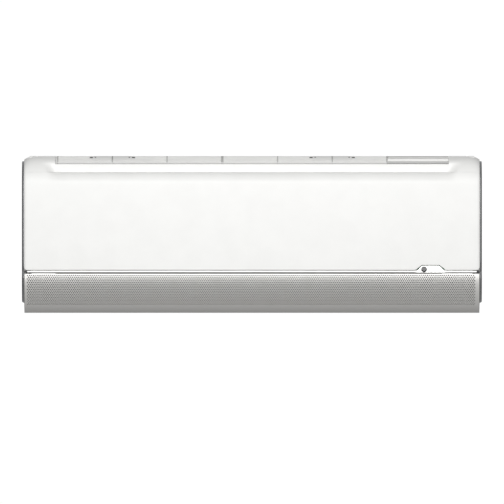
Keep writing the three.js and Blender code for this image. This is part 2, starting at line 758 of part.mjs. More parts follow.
function makeFanRotor() {
  const span = fanRight - fanLeft;
  const discs = [];
  for (let i = 0; i <= fanRings + 1; i += 1) {
    const x = fanLeft + ((span - 4) * i) / (fanRings + 1);
    const disc = barX(x, x + 4, fanDepth, fanZ, fanRadius - 0.6, 32);
    const inner = barX(x - 1, x + 5, fanDepth, fanZ, fanRadius - 14, 24);
    const closed = i === 0 || i === fanRings + 1;
    discs.push(closed ? disc : join([disc], [inner]));
  }
  const blades = [];
  for (let i = 0; i < fanBlades; i += 1) {
    const blade = new THREE.BoxGeometry(span - 2, 11, 1.3).rotateX(radians(28));
    blade.translate(0, -(fanRadius - 6.4), 0).rotateX((2 * Math.PI * i) / fanBlades);
    blades.push(blade.translate((fanLeft + fanRight) / 2, -fanDepth, fanZ));
  }
  const stubs = [
    barX(partitionLeft - 2, fanLeft + 1, fanDepth, fanZ, shaftRadius),
    barX(fanRight - 1, motorStart - gap, fanDepth, fanZ, shaftRadius),
  ];
  return join([...discs, ...blades, ...stubs]);
}

function makeFanBearing() {
  const ring = barX(partitionLeft - 1.5, partitionLeft + 4.5, fanDepth, fanZ, bearingOuter, 20);
  const bore = barX(partitionLeft - 3, partitionLeft + 6, fanDepth, fanZ, shaftRadius + gap, 16);
  return join([ring], [bore]);
}

function makeMotorClamp() {
  const x0 = motorStart + cradleLength + 2;
  const ring = barX(x0, x0 + 14, fanDepth, fanZ, motorRadius + 3, 32);
  const bore = barX(x0 - 1, x0 + 15, fanDepth, fanZ, motorRadius + gap, 32);
  const foot = block(
    x0, x0 + 14, caseBack + chassisWall + gap, fanDepth - motorRadius, fanZ - 6, fanZ + 6,
  );
  return join([ring, foot], [bore]);
}

// ---- heat exchanger: three finned blocks between two tube plates ----
const coilLeft = fanLeft - 4;
const coilRight = fanRight - 17;
const plateSheet = 1.5;
const tubeRadius = 3.5;
const trayFloor = panelBottom + 2.5;

const coilBend = halfHeight - 124.5;
const coilPeak = halfHeight - 27.5;
const frontLower = [
  [157, trayFloor + gap], [179, trayFloor + gap], [179, coilBend], [157, coilBend - 10],
];
const frontUpper = [
  [157, coilBend - 9.4], [179, coilBend + 0.6], [133, coilPeak - 5], [112.5, coilPeak - 15.4],
];
const rearBlock = [
  [111, coilPeak - 14], [98, coilPeak], [31, coilTroughZ + 20], [33, coilTroughZ - 0.7],
  [47, coilTroughZ - 0.7],
];
const tubePlateSection = [
  [155, trayFloor + gap], [181, trayFloor + gap], [181, coilBend + 2],
  [134, coilPeak - 2], [113, coilPeak - 12.2], [98, coilPeak + 3], [29.6, coilTroughZ + 23],
  [31.5, coilTroughZ - 0.7], [49, coilTroughZ - 0.7], [112.5, coilPeak - 20], [155, coilBend - 11],
];

function finBlock(section) {
  return extrudeX(section, coilLeft, coilRight);
}

// A U bend between two tube ends at (d, z) points, standing out towards +X.
function returnBend(x, [d0, z0], [d1, z1]) {
  const a = new THREE.Vector3(x, -d0, z0);
  const b = new THREE.Vector3(x, -d1, z1);
  const middle = a.clone().add(b).multiplyScalar(0.5);
  const half = a.clone().sub(middle);
  const out = new THREE.Vector3(half.length(), 0, 0);
  const points = [];
  const bendSteps = 5;
  for (let i = 0; i <= bendSteps; i += 1) {
    const turn = (Math.PI * i) / bendSteps;
    const along = half.clone().multiplyScalar(Math.cos(turn));
    points.push(middle.clone().add(along).add(out.clone().multiplyScalar(Math.sin(turn))));
  }
  return tube(points, tubeRadius, 6);
}

// A tube through listed points, with one ring of its section at each.
class Route extends THREE.Curve {
  constructor(points) {
    super();
    this.points = points;
  }

  getPoint(t) {
    const place = t * (this.points.length - 1);
    const i = Math.min(this.points.length - 2, Math.floor(place));
    return this.points[i].clone().lerp(this.points[i + 1], place - i);
  }

  getTangentAt(t) {
    const step = 0.5 / (this.points.length - 1);
    const before = this.getPoint(Math.max(0, t - step));
    return this.getPoint(Math.min(1, t + step)).sub(before).normalize();
  }

  getPointAt(t) {
    return this.getPoint(t);
  }

  getSpacedPoints(divisions) {
    return this.getPoints(divisions);
  }
}

function tube(points, radius, sides) {
  const ring = [];
  for (let i = 0; i < sides; i += 1) {
    const angle = (2 * Math.PI * i) / sides;
    ring.push(new THREE.Vector2(radius * Math.cos(angle), radius * Math.sin(angle)));
  }
  const options = { steps: points.length - 1, extrudePath: new Route(points), bevelEnabled: false };
  return new THREE.ExtrudeGeometry(new THREE.Shape(ring), options);
}

// Straight runs joined by round bends, as the points of a route.
function bentRoute(corners, bend) {
  const points = [corners[0].clone()];
  for (let i = 1; i < corners.length - 1; i += 1) {
    const into = corners[i - 1].clone().sub(corners[i]).normalize().multiplyScalar(bend);
    const out = corners[i + 1].clone().sub(corners[i]).normalize().multiplyScalar(bend);
    const curve = new THREE.QuadraticBezierCurve3(
      corners[i].clone().add(into), corners[i], corners[i].clone().add(out),
    );
    points.push(...curve.getPoints(5));
  }
  points.push(corners[corners.length - 1].clone());
  return points;
}

function bends(section, spacing) {
  const [a, b, c, d] = section;
  const low = new THREE.Vector2((a[0] + b[0]) / 2, (a[1] + b[1]) / 2);
  const high = new THREE.Vector2((c[0] + d[0]) / 2, (c[1] + d[1]) / 2);
  const run = high.clone().sub(low);
  const count = Math.floor((run.length() - spacing / 2) / spacing / 2);
  const step = run.clone().normalize().multiplyScalar(spacing);
  const parts = [];
  for (let i = 0; i < count; i += 1) {
    const from = low.clone().add(step.clone().multiplyScalar(0.7 + 2 * i));
    const to = from.clone().add(step);
    parts.push(returnBend(coilRight + gap + plateSheet / 2, [from.x, from.y], [to.x, to.y]));
  }
  return parts;
}

function makeTubePlateRight() {
  const plate = extrudeX(tubePlateSection, coilRight + gap, coilRight + gap + plateSheet);
  const rear = [rearBlock[3], rearBlock[4], rearBlock[0], rearBlock[1]];
  return join([plate, ...bends(frontLower, 21), ...bends(frontUpper, 21), ...bends(rear, 21)]);
}

// ---- refrigerant pipes and their flare nuts ----
const gasRadius = 4.76;
const liquidRadius = 3.175;
const pipeEnd = coilRight - 315;
const nutLength = 20;
const gasPort = {
  depth: 168, z: trayFloor + 46.5, turn: boxLeft - 10, backDepth: 27, low: -halfHeight + 38.5,
};
const liquidPort = {
  depth: 160, z: fanZ + 54, turn: boxLeft - 28, backDepth: 16, low: -halfHeight + 62.5,
};

function makePipe(port, radius) {
  const corners = [
    [coilRight + gap + plateSheet + gap, port.depth, port.z], [port.turn, port.depth, port.z],
    [port.turn, port.backDepth, port.z], [port.turn, port.backDepth, port.low],
    [pipeEnd, port.backDepth, port.low],
  ].map(([x, d, z]) => new THREE.Vector3(x, -d, z));
  return tube(bentRoute(corners, 20), radius, 10);
}

function makeFlareNut(port, radius, acrossCorners) {
  const inner = pipeEnd + 4;
  const nut = barX(inner - nutLength, inner, port.backDepth, port.low, acrossCorners, 6);
  const pipeHole = barX(pipeEnd - gap, inner + 1, port.backDepth, port.low, radius + gap, 12);
  const mouth = barX(
    inner - nutLength - 1, pipeEnd - 5, port.backDepth, port.low, acrossCorners * 0.62, 16,
  );
  return join([nut], [pipeHole, mouth]);
}

// ---- condensate: tray under the front block, air tongue and drain spigot ----
const trayLeft = -bodyHalfWidth + 35.7;
const trayRight = fanRight - 4;
const spigotX = trayLeft + 10;
const spigotZ = trayFloor + 5.5;
const spigotRadius = 8;
const spigotBore = 6;
const spigotEnd = 60;

const trayTop = trayFloor + 15.5;
function makeDrainTray() {
  const trough = [
    [152, footTop + gap], [184, footTop + gap], [184, trayTop], [182, trayTop], [182, trayFloor],
    [154, trayFloor], [154, trayTop], [152, trayTop],
  ];
  const tongue = [
    [144, trayTop - 8], [152.5, trayTop - 4], [152.5, footTop + gap], [152, footTop - 6.7],
    [147, footTop - 12.7], [141, footTop - 7.7], [145, footTop + gap],
  ];
  const ends = [trayLeft, trayRight - 2].map(
    (x) => block(x, x + 2, 152, 184, footTop + gap, trayTop),
  );
  const outlet = barY(spigotX, spigotZ + 2, 150, 155, spigotBore, 16);
  return join([
    extrudeX(trough, trayLeft, trayRight), extrudeX(tongue, coilLeft, trayRight - 2), ...ends,
  ], [outlet]);
}

function makeDrainSpigot() {
  const z = spigotZ + 2;
  return join(
    [barY(spigotX, z, spigotEnd, 152 - gap, spigotRadius, 20), barY(spigotX, z, 148, 152 - gap, 11, 20)],
    [barY(spigotX, z, spigotEnd - 1, 153, spigotBore, 16)],
  );
}

// ---- air direction: one long vane, and a row of upright vanes on a link ----
function makeInnerVane() {
  const turn = radians(-35);
  const place = (along, across) => [
    vaneDepth + along * Math.cos(turn) - across * Math.sin(turn),
    vaneZ + along * Math.sin(turn) + across * Math.cos(turn),
  ];
  const section = [
    place(-21, 0), place(-12, 1.6), place(0, 2.2), place(12, 1.6), place(21, 0.6), place(21, -0.6),
    place(12, -1), place(0, -1.4), place(-12, -1),
  ];
  return join([
    extrudeX(section, fanLeft - 4, fanRight),
    barX(partitionLeft + 0.5, fanLeft, vaneDepth, vaneZ, vanePin),
    barX(fanRight - 1, partitionRight + chassisWall - gap, vaneDepth, vaneZ, vanePin),
  ]);
}

const vaneTop = linkTop - linkThickness - 1;
const vaneFoot = lipEnd[1] + 16.5;
const vanePlaceX = (index) => vaneFirst + vanePitch * index;

function makeSwingVane(index) {
  const x = vanePlaceX(index);
  const blade = outline([
    [swingDepth - 13, vaneFoot + 4], [swingDepth - 13, vaneTop], [swingDepth + 8, vaneTop],
    [swingDepth + 13, vaneTop - 8], [swingDepth + 13, vaneFoot], [swingDepth - 8, vaneFoot],
  ].map(([d, z]) => [d, z]));
  const plate = alongX(new THREE.ExtrudeGeometry(blade, { depth: 1.6, bevelEnabled: false }), x + 0.8);
  return join([
    plate,
    barZ(x, swingDepth, lipEnd[1] + 3.5, vaneTop - 2, 1.5, 10),
    barZ(x, swingDepth - swingArm, vaneTop - 2, linkTop + 1.5, 1.2, 10),
  ]);
}

function makeSwingLink() {
  const end = vanePlaceX(vaneCount);
  const depth = swingDepth - swingArm;
  const bar = block(
    vaneFirst - 5, end + 5, depth - 3.5, depth + 3.5, linkTop - linkThickness, linkTop,
  );
  const holes = [];
  for (let i = 0; i <= vaneCount; i += 1) {
    holes.push(barZ(vanePlaceX(i), depth, linkTop - linkThickness - 1, linkTop + 1, 1.8, 12));
  }
  return join([bar], holes);
}

const swingMotorFoot = linkTop + 4.3;
function makeSwingCrank() {
  const x = vanePlaceX(vaneCount);
  const depth = swingDepth;
  return join([
    block(x - 3, x + 3, depth - swingArm - 2, depth + 3, vaneTop - 3, vaneTop - 0.3),
    barZ(x, depth - swingArm, vaneTop - 2, linkTop + 1.5, 1.2, 10),
    barZ(x, depth, vaneTop - 2, swingMotorFoot - gap, 2, 12),
  ]);
}

// ---- electrics ----
const boxFront = 146;
const boxBack = caseBack + chassisWall + gap;
const boxWall = 2;
const lidDepth = 2.5;
const boardGap = 12;
const boardThick = 1.6;
const screwX = (boxLeft + boxRight) / 2;
const screwRadius = 2;
const screwHead = 3.8;

function makeElectricalBox() {
  const outer = block(boxLeft, boxRight, boxBack, boxFront, boxBottom, boxTop);
  const inside = block(
    boxLeft + boxWall, boxRight - boxWall, boxBack + boxWall, boxFront + 1, boxBottom + boxWall,
    boxTop - boxWall,
  );
  const posts = [];
  for (const x of [boxLeft + 10, boxRight - 10]) {
    for (const z of [boxBottom + 14, boxTop - 14]) {
      posts.push(barY(x, z, boxBack + 1, boxBack + boxWall + boardGap - gap, 3.5, 8));
    }
  }
  return join([join([outer], [inside]), ...posts]);
}

const lidScrewZ = [boxBottom + 12, boxTop - 12];
function makeBoxLid() {
  const plate = block(boxLeft, boxRight, boxFront + gap, boxFront + gap + lidDepth, boxBottom, boxTop);
  return join([plate], lidScrewZ.map(
    (z) => barY(screwX, z, boxFront - 1, boxFront + lidDepth + 2, screwRadius + gap, 10),
  ));
}

// A screw with its head at depth d, pointing towards the wall.
function screwY(x, z, d, length) {
  return join([
    barY(x, z, d - length, d + 0.5, screwRadius, 8), barY(x, z, d, d + 2.4, screwHead, 12),
  ]);
}

function makeCircuitBoard() {
  const d = boxBack + boxWall + boardGap;
  const low = boxBottom + boxWall + 3;
  const high = boxTop - boxWall - 3;
  const top = d + boardThick - 0.2;
  return join([
    block(boxLeft + 5, boxRight - 5, d, d + boardThick, low, high),
    block(boxLeft + 12, boxLeft + 34, top, top + 16, low + 30, low + 58),
    block(boxLeft + 42, boxLeft + 58, top, top + 20, low + 62, low + 82),
    barY(boxLeft + 24, high - 30, top, top + 28, 9, 16),
    barY(boxLeft + 50, low + 24, top, top + 18, 6, 12),
  ]);
}

const terminalPitch = 13;
function makeTerminalBlock() {
  const low = boxBottom - gap - 26;
  const base = block(boxLeft + 4, boxRight - 4, 96, 122, low, boxBottom - gap);
  const cuts = [];
  for (let x = boxLeft + 10; x < boxRight - 14; x += terminalPitch) {
    cuts.push(block(x, x + 9, 108, 124, low + 5, boxBottom - 6));
  }
  return join([base], cuts);
}

const displayLeft = bayLeft + 2.3;
const displayRight = displayLeft + 96;
const displayDepth = 176;
const buttonX = displayRight - 17;
const buttonZ = footTop + 12.3;
const buttonRadius = 4;

function makeDisplayBoard() {
  const low = footTop + gap;
  const board = block(displayLeft, displayRight, displayDepth, displayDepth + 2, low, low + 26);
  const receiver = block(lensX - 5, lensX + 5, displayDepth + 1, displayDepth + 6, low, low + 8);
  const cell = block(
    displayLeft + 30, displayLeft + 46, displayDepth + 1, displayDepth + 4, low + 10, low + 18,
  );
  const hole = barY(buttonX, buttonZ, displayDepth - 1, displayDepth + 3, buttonRadius + gap, 16);
  return join([board, receiver, cell], [hole]);
}

function makeDoorMotor() {
  const x1 = frameHalf;
  const housing = barX(x1 - 24, x1 - 6, doorPivotDepth - 16, doorPivotZ + 19, 12, 20);
  const gearbox = [
    [112, doorPivotZ + 6], [118, doorPivotZ + 5], ...arc(doorPivotDepth, doorPivotZ, hingeEarRadius, -180, 0, 8),
    [131, doorPivotZ + 16], [124, doorPivotZ + 22], [112, doorPivotZ + 30], [104, doorPivotZ + 20],
  ];
  return join([housing, extrudeX(gearbox, x1 - 7, x1)]);
}

const railScrewX = [-bodyHalfWidth + 225, bodyHalfWidth - 225];
const railScrewDepth = 168;
function screwZ(x, d, z, length) {
  return join([barZ(x, d, z - 0.5, z + length, screwRadius, 8), barZ(x, d, z - 2.4, z, screwHead, 12)]);
}

// ---- assembly ----
add('front_panel', makeFrontPanel(), 'white');
add('front_frame', makeFrontFrame(), 'white');
add('side_cover_left', makeSideCover(-1), 'white');
add('side_cover_right', makeSideCover(1), 'white');
add('side_trim_left', makeSideTrim(-1), 'chrome');
add('side_trim_right', makeSideTrim(1), 'chrome');
add('silver_trim_strip', makeTrimStrip(), 'silver');
add('outlet_door', makeDoor(), 'silver');
add('filter_left', makeFilter(0), 'white');
add('filter_right', makeFilter(1), 'white');
add('inlet_grille', makeInletGrille(), 'white');
add('rear_chassis', makeRearChassis(), 'dark');
add('bottom_cover', makeBottomCover(), 'white');
add('end_frame_left', makeEndFrame(-1), 'white');
add('end_frame_right', makeEndFrame(1), 'white');
add('mounting_plate', makeMountingPlate(), 'steel');
add('fan_room_wall_left', makePartitionLeft(), 'white');
add('fan_room_wall_right', makePartitionRight(), 'white');
add('fan_rotor', makeFanRotor(), 'dark');
add('fan_bearing', makeFanBearing(), 'dark');
add('fan_motor', barX(motorStart, motorStart + motorLength, fanDepth, fanZ, motorRadius, 32), 'steel');
add('motor_clamp', makeMotorClamp(), 'white');
add('evaporator_front_lower', finBlock(frontLower), 'fins');
add('evaporator_front_upper', finBlock(frontUpper), 'fins');
add('evaporator_rear', finBlock(rearBlock), 'fins');
add('tube_plate_left', extrudeX(tubePlateSection, coilLeft - gap - plateSheet, coilLeft - gap), 'steel');
add('tube_plate_right', makeTubePlateRight(), 'copper');
add('gas_pipe', makePipe(gasPort, gasRadius), 'copper');
add('liquid_pipe', makePipe(liquidPort, liquidRadius), 'copper');
add('gas_flare_nut', makeFlareNut(gasPort, gasRadius, 12.7), 'brass');
add('liquid_flare_nut', makeFlareNut(liquidPort, liquidRadius, 9.8), 'brass');
add('drain_tray', makeDrainTray(), 'white');
add('drain_spigot', makeDrainSpigot(), 'grey');
add('inner_vane', makeInnerVane(), 'white');
for (let i = 0; i < vaneCount; i += 1) {
  add(`swing_vane_${i + 1}`, makeSwingVane(i), 'dark');
}
add('swing_link', makeSwingLink(), 'dark');
add('swing_crank', makeSwingCrank(), 'white');
add('swing_motor', barZ(vanePlaceX(vaneCount), swingDepth, swingMotorFoot, motorShelfZ - gap, 12, 20), 'steel');
add('sensor_lens', barY(lensX, lensZ, stripBack + 1 + gap, stripFront - 0.4, lensRadius, 24), 'dark');
add('electrical_box', makeElectricalBox(), 'white');
add('electrical_box_lid', makeBoxLid(), 'white');
add('circuit_board', makeCircuitBoard(), 'board');
add('terminal_block', makeTerminalBlock(), 'dark');
add('display_board', makeDisplayBoard(), 'board');
add('manual_button', barY(buttonX, buttonZ, displayDepth + 0.5, displayDepth + 5, buttonRadius, 16), 'grey');
add('vane_motor', barX(partitionRight + chassisWall + gap, partitionRight + 21, vaneDepth, vaneZ, 11, 20),
  'steel');
add('door_motor', makeDoorMotor(), 'white');
add('temperature_sensor', barZ(coilRight - 145, 179 + gap + 2.5, coilBend - 36, coilBend - 10, 2.5, 10), 'copper');
lidScrewZ.forEach((z, i) => {
  add(`lid_screw_${i + 1}`, screwY(screwX, z, boxFront + lidDepth + 2 * gap, 8), 'steel');
});
railScrewX.forEach((x, i) => {
  add(`rail_screw_${i + 1}`, screwZ(x, railScrewDepth, footLow - gap, 6), 'steel');
});

export default group;
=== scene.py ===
"""Wall-mounted mini split indoor unit: finishes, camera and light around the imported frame.

Metres, +Z up, the room at -Y. Sections are drawn in (d, z), d being the distance from the wall.
"""

import json
import math

import bmesh
import bpy
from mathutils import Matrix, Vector


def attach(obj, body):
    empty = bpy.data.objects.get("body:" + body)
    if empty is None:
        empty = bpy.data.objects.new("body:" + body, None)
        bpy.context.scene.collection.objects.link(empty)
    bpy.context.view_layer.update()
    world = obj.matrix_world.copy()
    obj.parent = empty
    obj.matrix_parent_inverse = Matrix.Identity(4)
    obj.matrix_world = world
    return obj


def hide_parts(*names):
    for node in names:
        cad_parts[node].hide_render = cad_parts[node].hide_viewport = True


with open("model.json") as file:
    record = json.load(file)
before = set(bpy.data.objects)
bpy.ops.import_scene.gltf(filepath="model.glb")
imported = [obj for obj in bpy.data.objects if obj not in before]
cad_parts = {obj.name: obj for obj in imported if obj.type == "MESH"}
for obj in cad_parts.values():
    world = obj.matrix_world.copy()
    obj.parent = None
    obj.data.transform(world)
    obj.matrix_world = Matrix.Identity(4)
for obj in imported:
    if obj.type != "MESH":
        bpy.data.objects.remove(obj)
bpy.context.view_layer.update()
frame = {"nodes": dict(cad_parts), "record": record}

MM = 0.001


# ---- camera: square-on, from so far that the sides don't show ----
PHOTO_SIDE = 504
MM_PER_PIXEL = 2.0435
OBJECT_CENTRE_PIXEL = (251.9, 234.4)
CAMERA_DISTANCE = 40.0
FACE_DEPTH = 0.19


def make_camera():
    data = bpy.data.cameras.new("camera")
    data.sensor_width = 36.0
    view_width = PHOTO_SIDE * MM_PER_PIXEL * MM
    data.lens = data.sensor_width * CAMERA_DISTANCE / view_width
    data.clip_end = 200.0
    camera = bpy.data.objects.new("camera", data)
    bpy.context.collection.objects.link(camera)
    right = (PHOTO_SIDE / 2 - OBJECT_CENTRE_PIXEL[0]) * MM_PER_PIXEL * MM
    down = (PHOTO_SIDE / 2 - OBJECT_CENTRE_PIXEL[1]) * MM_PER_PIXEL * MM
    camera.location = (right, -FACE_DEPTH - CAMERA_DISTANCE, -down)
    camera.rotation_euler = (math.pi / 2, 0, 0)
    bpy.context.scene.camera = camera


make_camera()
bpy.context.scene.view_settings.view_transform = "Standard"


# ---- materials ----
def linear(hex_colour):
    """A linear RGBA colour from an sRGB hex value."""
    parts = [int(hex_colour[i:i + 2], 16) / 255 for i in (1, 3, 5)]
    return tuple(p / 12.92 if p <= 0.04045 else ((p + 0.055) / 1.055) ** 2.4 for p in parts) + (1.0,)


def add_node(tree, kind, settings=None, links=None, **attributes):
    """Adds a node, sets its attributes and inputs, and links inputs to other nodes' outputs."""
    node = tree.nodes.new(kind)
    for name, value in attributes.items():
        setattr(node, name, value)
    for name, value in (settings or {}).items():
        node.inputs[name].default_value = value
    for name, output in (links or {}).items():
        tree.links.new(output, node.inputs[name])
    return node


def repeats(size_mm):
    """The scale of a texture whose features should be about this many millimetres apart."""
    return 1.0 / (size_mm * MM)


def start_material(name):
    """An empty material, its node tree and the object coordinates its textures use."""
    material = bpy.data.materials.new(name)
    material.use_nodes = True
    tree = material.node_tree
    tree.nodes.clear()
    place = add_node(tree, "ShaderNodeTexCoord").outputs["Object"]
    return material, tree, place


def finish_material(tree, settings, links):
    """Ends a material's tree with one principled shader."""
    shader = add_node(tree, "ShaderNodeBsdfPrincipled", settings, links)
    add_node(tree, "ShaderNodeOutputMaterial", links={"Surface": shader.outputs["BSDF"]})


def shade_pair(tree, place, light, dark, size_mm, detail=3.0):
    """Two close colours mixed by noise, as a moulding's flow or a sheet's spangle gives."""
    noise = add_node(tree, "ShaderNodeTexNoise", {"Scale": repeats(size_mm), "Detail": detail},
                     {"Vector": place})
    ramp = add_node(tree, "ShaderNodeValToRGB", links={"Fac": noise.outputs["Fac"]})
    ramp.color_ramp.elements[0].position = 0.35
    ramp.color_ramp.elements[1].position = 0.65
    ramp.color_ramp.elements[0].color = linear(dark)
    ramp.color_ramp.elements[1].color = linear(light)
    return ramp.outputs["Color"], noise.outputs["Fac"]


def rough_between(tree, source, low, high):
    """A roughness that wanders between two values with the noise it is given."""
    remapped = add_node(tree, "ShaderNodeMapRange", {"To Min": low, "To Max": high}, {"Value": source})
    return remapped.outputs["Result"]


def grain_bump(tree, place, size_mm, height_mm, strength=0.3):
    """A fine noise bump, for the grain that a tool leaves."""
    noise = add_node(tree, "ShaderNodeTexNoise", {"Scale": repeats(size_mm), "Detail": 2.0},
                     {"Vector": place})
    bump = add_node(tree, "ShaderNodeBump", {"Strength": strength, "Distance": height_mm * MM},
                    {"Height": noise.outputs["Fac"]})
    return bump.outputs["Normal"]


# Size of the slow colour changes in a moulding, as its melt flowed, in mm.
FLOW_MM = 45.0


def moulded_plastic(name, light, dark, rough, grain_mm=0.8, grain_height_mm=0.02, ior=1.53):
    """ABS out of a tool: nearly even colour, a faint spark-eroded grain and a soft sheen.

    The real grain is about 0.1 mm; it is drawn at 0.8 mm to show.
    """
    material, tree, place = start_material(name)
    colour, flow = shade_pair(tree, place, light, dark, FLOW_MM)
    finish_material(tree, {"IOR": ior}, {
        "Base Color": colour,
        "Roughness": rough_between(tree, flow, rough - 0.04, rough + 0.05),
        "Normal": grain_bump(tree, place, grain_mm, grain_height_mm),
    })
    return material


def bare_metal(name, light, dark, rough, size_mm=2.0, stretch=(1.0, 1.0, 1.0), metallic=1.0):
    """Drawn, rolled or plated metal: colour and gloss vary along the way it was worked."""
    material, tree, place = start_material(name)
    along = add_node(tree, "ShaderNodeMapping", {"Scale": stretch}, {"Vector": place})
    colour, flow = shade_pair(tree, along.outputs["Vector"], light, dark, size_mm)
    finish_material(tree, {"Metallic": metallic}, {
        "Base Color": colour,
        "Roughness": rough_between(tree, flow, rough - 0.05, rough + 0.06),
    })
    return material


FIN_PITCH = 2.6
# A wave texture of scale 1 has a period of 20 / 2 pi units.
WAVE_UNIT = 2 * math.pi / 20


def fin_pack(name):
    """Pressed aluminium fins on edge, with painted shade in the gaps between them. Real ones stand 1.3
    mm apart; drawn at 2.6 mm to show.
    """
    material, tree, place = start_material(name)
    wave_scale = repeats(FIN_PITCH) * WAVE_UNIT
    fins_and_gap_shade = add_node(tree, "ShaderNodeTexWave", {"Scale": wave_scale, "Distortion": 0.1},
                       {"Vector": place}, wave_type="BANDS", bands_direction="X")
    ramp = add_node(tree, "ShaderNodeValToRGB", links={"Fac": fins_and_gap_shade.outputs["Fac"]})
    # Painted shade: the dark bands are the shaded gaps between the fins, the pale bands the fins'
    # edges.
    ramp.color_ramp.elements[0].color = linear("#3F474B")
    ramp.color_ramp.elements[1].color = linear("#B8C4C9")
    bump = add_node(tree, "ShaderNodeBump", {"Strength": 0.8, "Distance": 0.6 * MM},
                    {"Height": fins_and_gap_shade.outputs["Fac"]})
    finish_material(tree, {"Metallic": 0.8, "Roughness": 0.38},
                    {"Base Color": ramp.outputs["Color"], "Normal": bump.outputs["Normal"]})
    return material


TRACK_PITCH = 9.0


def circuit_laminate(name):
    """Green solder mask over copper tracks, which show as paler lines."""
    material, tree, place = start_material(name)
    tracks = add_node(tree, "ShaderNodeTexBrick", {
        "Scale": repeats(TRACK_PITCH), "Mortar Size": 0.06, "Color1": linear("#1F5A38"),
        "Color2": linear("#246341"), "Mortar": linear("#3E8A5C"),
    }, {"Vector": place})
    finish_material(tree, {"Roughness": 0.42}, {"Base Color": tracks.outputs["Color"]})
    return material


# Visible casing: white ABS moulded in a finely spark-eroded tool, a soft satin skin.
white_abs = moulded_plastic("white_abs_satin", "#F3F3F1", "#F0F0EE", 0.40)
# Inner mouldings: the same ABS, from a tool left rougher.
white_abs_inner = moulded_plastic("white_abs_inner", "#DEDEDB", "#D8D8D5", 0.55)
# Intake ribs: the same ABS, painted greyer as the shade they stand in.
rib_painted_shade = moulded_plastic("white_abs_rib_shade", "#C9C9C7", "#C2C2C0", 0.5)
# Drain spigot and manual button: mid-grey ABS, moulded.
grey_abs = moulded_plastic("grey_abs", "#A9A9A6", "#A19F9C", 0.5)
# Chassis, fan and swing vanes: black polypropylene, moulded, half dull. The same black is painted shade
# on the bars at the strip's ends and on the sheet behind the door's holes.
black_plastic = moulded_plastic("black_polypropylene", "#232425", "#1C1D1E", 0.5)
# The finger slots beside the pull tabs: dark grey painted shade, for slots deep enough to be in shade.
groove_painted_shade = moulded_plastic("painted_groove_shade", "#5C5C5B", "#535352", 0.7)
# Fan bearing: black rubber pressed in a mould, quite dull.
rubber = moulded_plastic("black_rubber_bush", "#1B1B1B", "#141414", 0.8, ior=1.52)
# Sensor window: smoked polycarbonate, polished smooth.
smoked_lens = moulded_plastic(
    "smoked_polycarbonate", "#1B1B1E", "#151518", 0.12, grain_height_mm=0.0, ior=1.58)
# Filter net: woven nylon, its weave a noise bump of about 1.2 mm.
filter_net = moulded_plastic("nylon_filter_net", "#9FA09F", "#8E8F8E", 0.6, 1.2, 0.3)
# Door: plastic sprayed with silver paint. Its flakes are finer than 0.1 mm, drawn at 1 mm to show.
silver_paint = bare_metal("silver_painted_plastic", "#E2E1DE", "#DAD9D6", 0.38, 1.0, metallic=0.5)
# Strip: the same paint, paler and smoother.
bright_paint = bare_metal("bright_silver_paint", "#F0F0EE", "#EAEAE8", 0.3, 1.0, metallic=0.4)
# Side edging: electroplated plastic with a satin nickel look.
plated_trim = bare_metal("satin_plated_plastic", "#C9CACB", "#BFC0C2", 0.2, 12.0)
# Wall plate, motor cans and screws: hot-dipped galvanised steel with its spangle.
galvanised = bare_metal("galvanised_sheet", "#A7ACAF", "#8F9598", 0.4, 9.0)
# Refrigerant tubes and the plate beside them: drawn copper, slightly tarnished.
copper = bare_metal("drawn_copper", "#C98661", "#B4714D", 0.3, 7.0)
# Flare nuts: brass turned from bar, its tool marks drawn closer together along X.
brass = bare_metal("turned_brass", "#CDAE66", "#BD9C55", 0.28, 3.0, (6.0, 1.0, 1.0))
# Heat exchanger: aluminium sheet pressed into fins and stacked on edge, with painted shade between the
# fins.
fins = fin_pack("aluminium_fin_pack")
# Circuit boards: glass-fibre laminate, etched and coated with green mask.
laminate = circuit_laminate("glass_fibre_laminate")

SLOT_FINISH = {
    "white_abs": white_abs,
    "grey_abs": grey_abs,
    "black_plastic": black_plastic,
    "rubber_bearing": rubber,
    "lens": smoked_lens,
    "silver_door": silver_paint,
    "bright_trim": plated_trim,
    "galvanised_steel": galvanised,
    "aluminium_fins": fins,
    "copper_tube": copper,
    "brass_nut": brass,
    "circuit_laminate": laminate,
}


def dress_cad():
    """Gives every carried-over node the finish of its material slot."""
    slot_of = {part["node"]: part["material_slot"] for part in frame["record"]["subparts"]}
    inner = {"electrical_box", "electrical_box_lid", "drain_tray", "motor_clamp", "end_frame_left",
             "end_frame_right", "fan_room_wall_left", "fan_room_wall_right", "door_motor"}
    for node, ob in frame["nodes"].items():
        finish = white_abs_inner if node in inner else SLOT_FINISH[slot_of[node]]
        for i in range(max(1, len(ob.material_slots))):
            if not ob.material_slots:
                ob.data.materials.append(finish)
            ob.material_slots[i].material = finish


dress_cad()


# ---- mesh helpers ----
def clamp(t):
    """A value held between 0 and 1."""
    return min(1.0, max(0.0, t))


def smooth(t):
    """A share from 0 to 1 that starts and ends gently."""
    return t * t * (3 - 2 * t)


def spread(start, end, count):
    """Values from start to end in even steps, both ends included."""
    return [start + (end - start) * i / count for i in range(count + 1)]


def arc(centre_d, centre_z, radius, start, end, count):
    """Points of an arc in (d, z), angles in degrees from straight out of the wall."""
    turns = [math.radians(a) for a in spread(start, end, count)]
    return [(centre_d + radius * math.cos(turn), centre_z + radius * math.sin(turn)) for turn in turns]


def at(x, d, z):
    """A point of the shared frame in metres from X, distance from the wall and height in mm."""
    return (x * MM, -d * MM, z * MM)


# Points of a piece closer than this are one, and shorter edges are dropped, in mm.
MERGE_MM = 0.004
SHORTEST_MM = 0.002


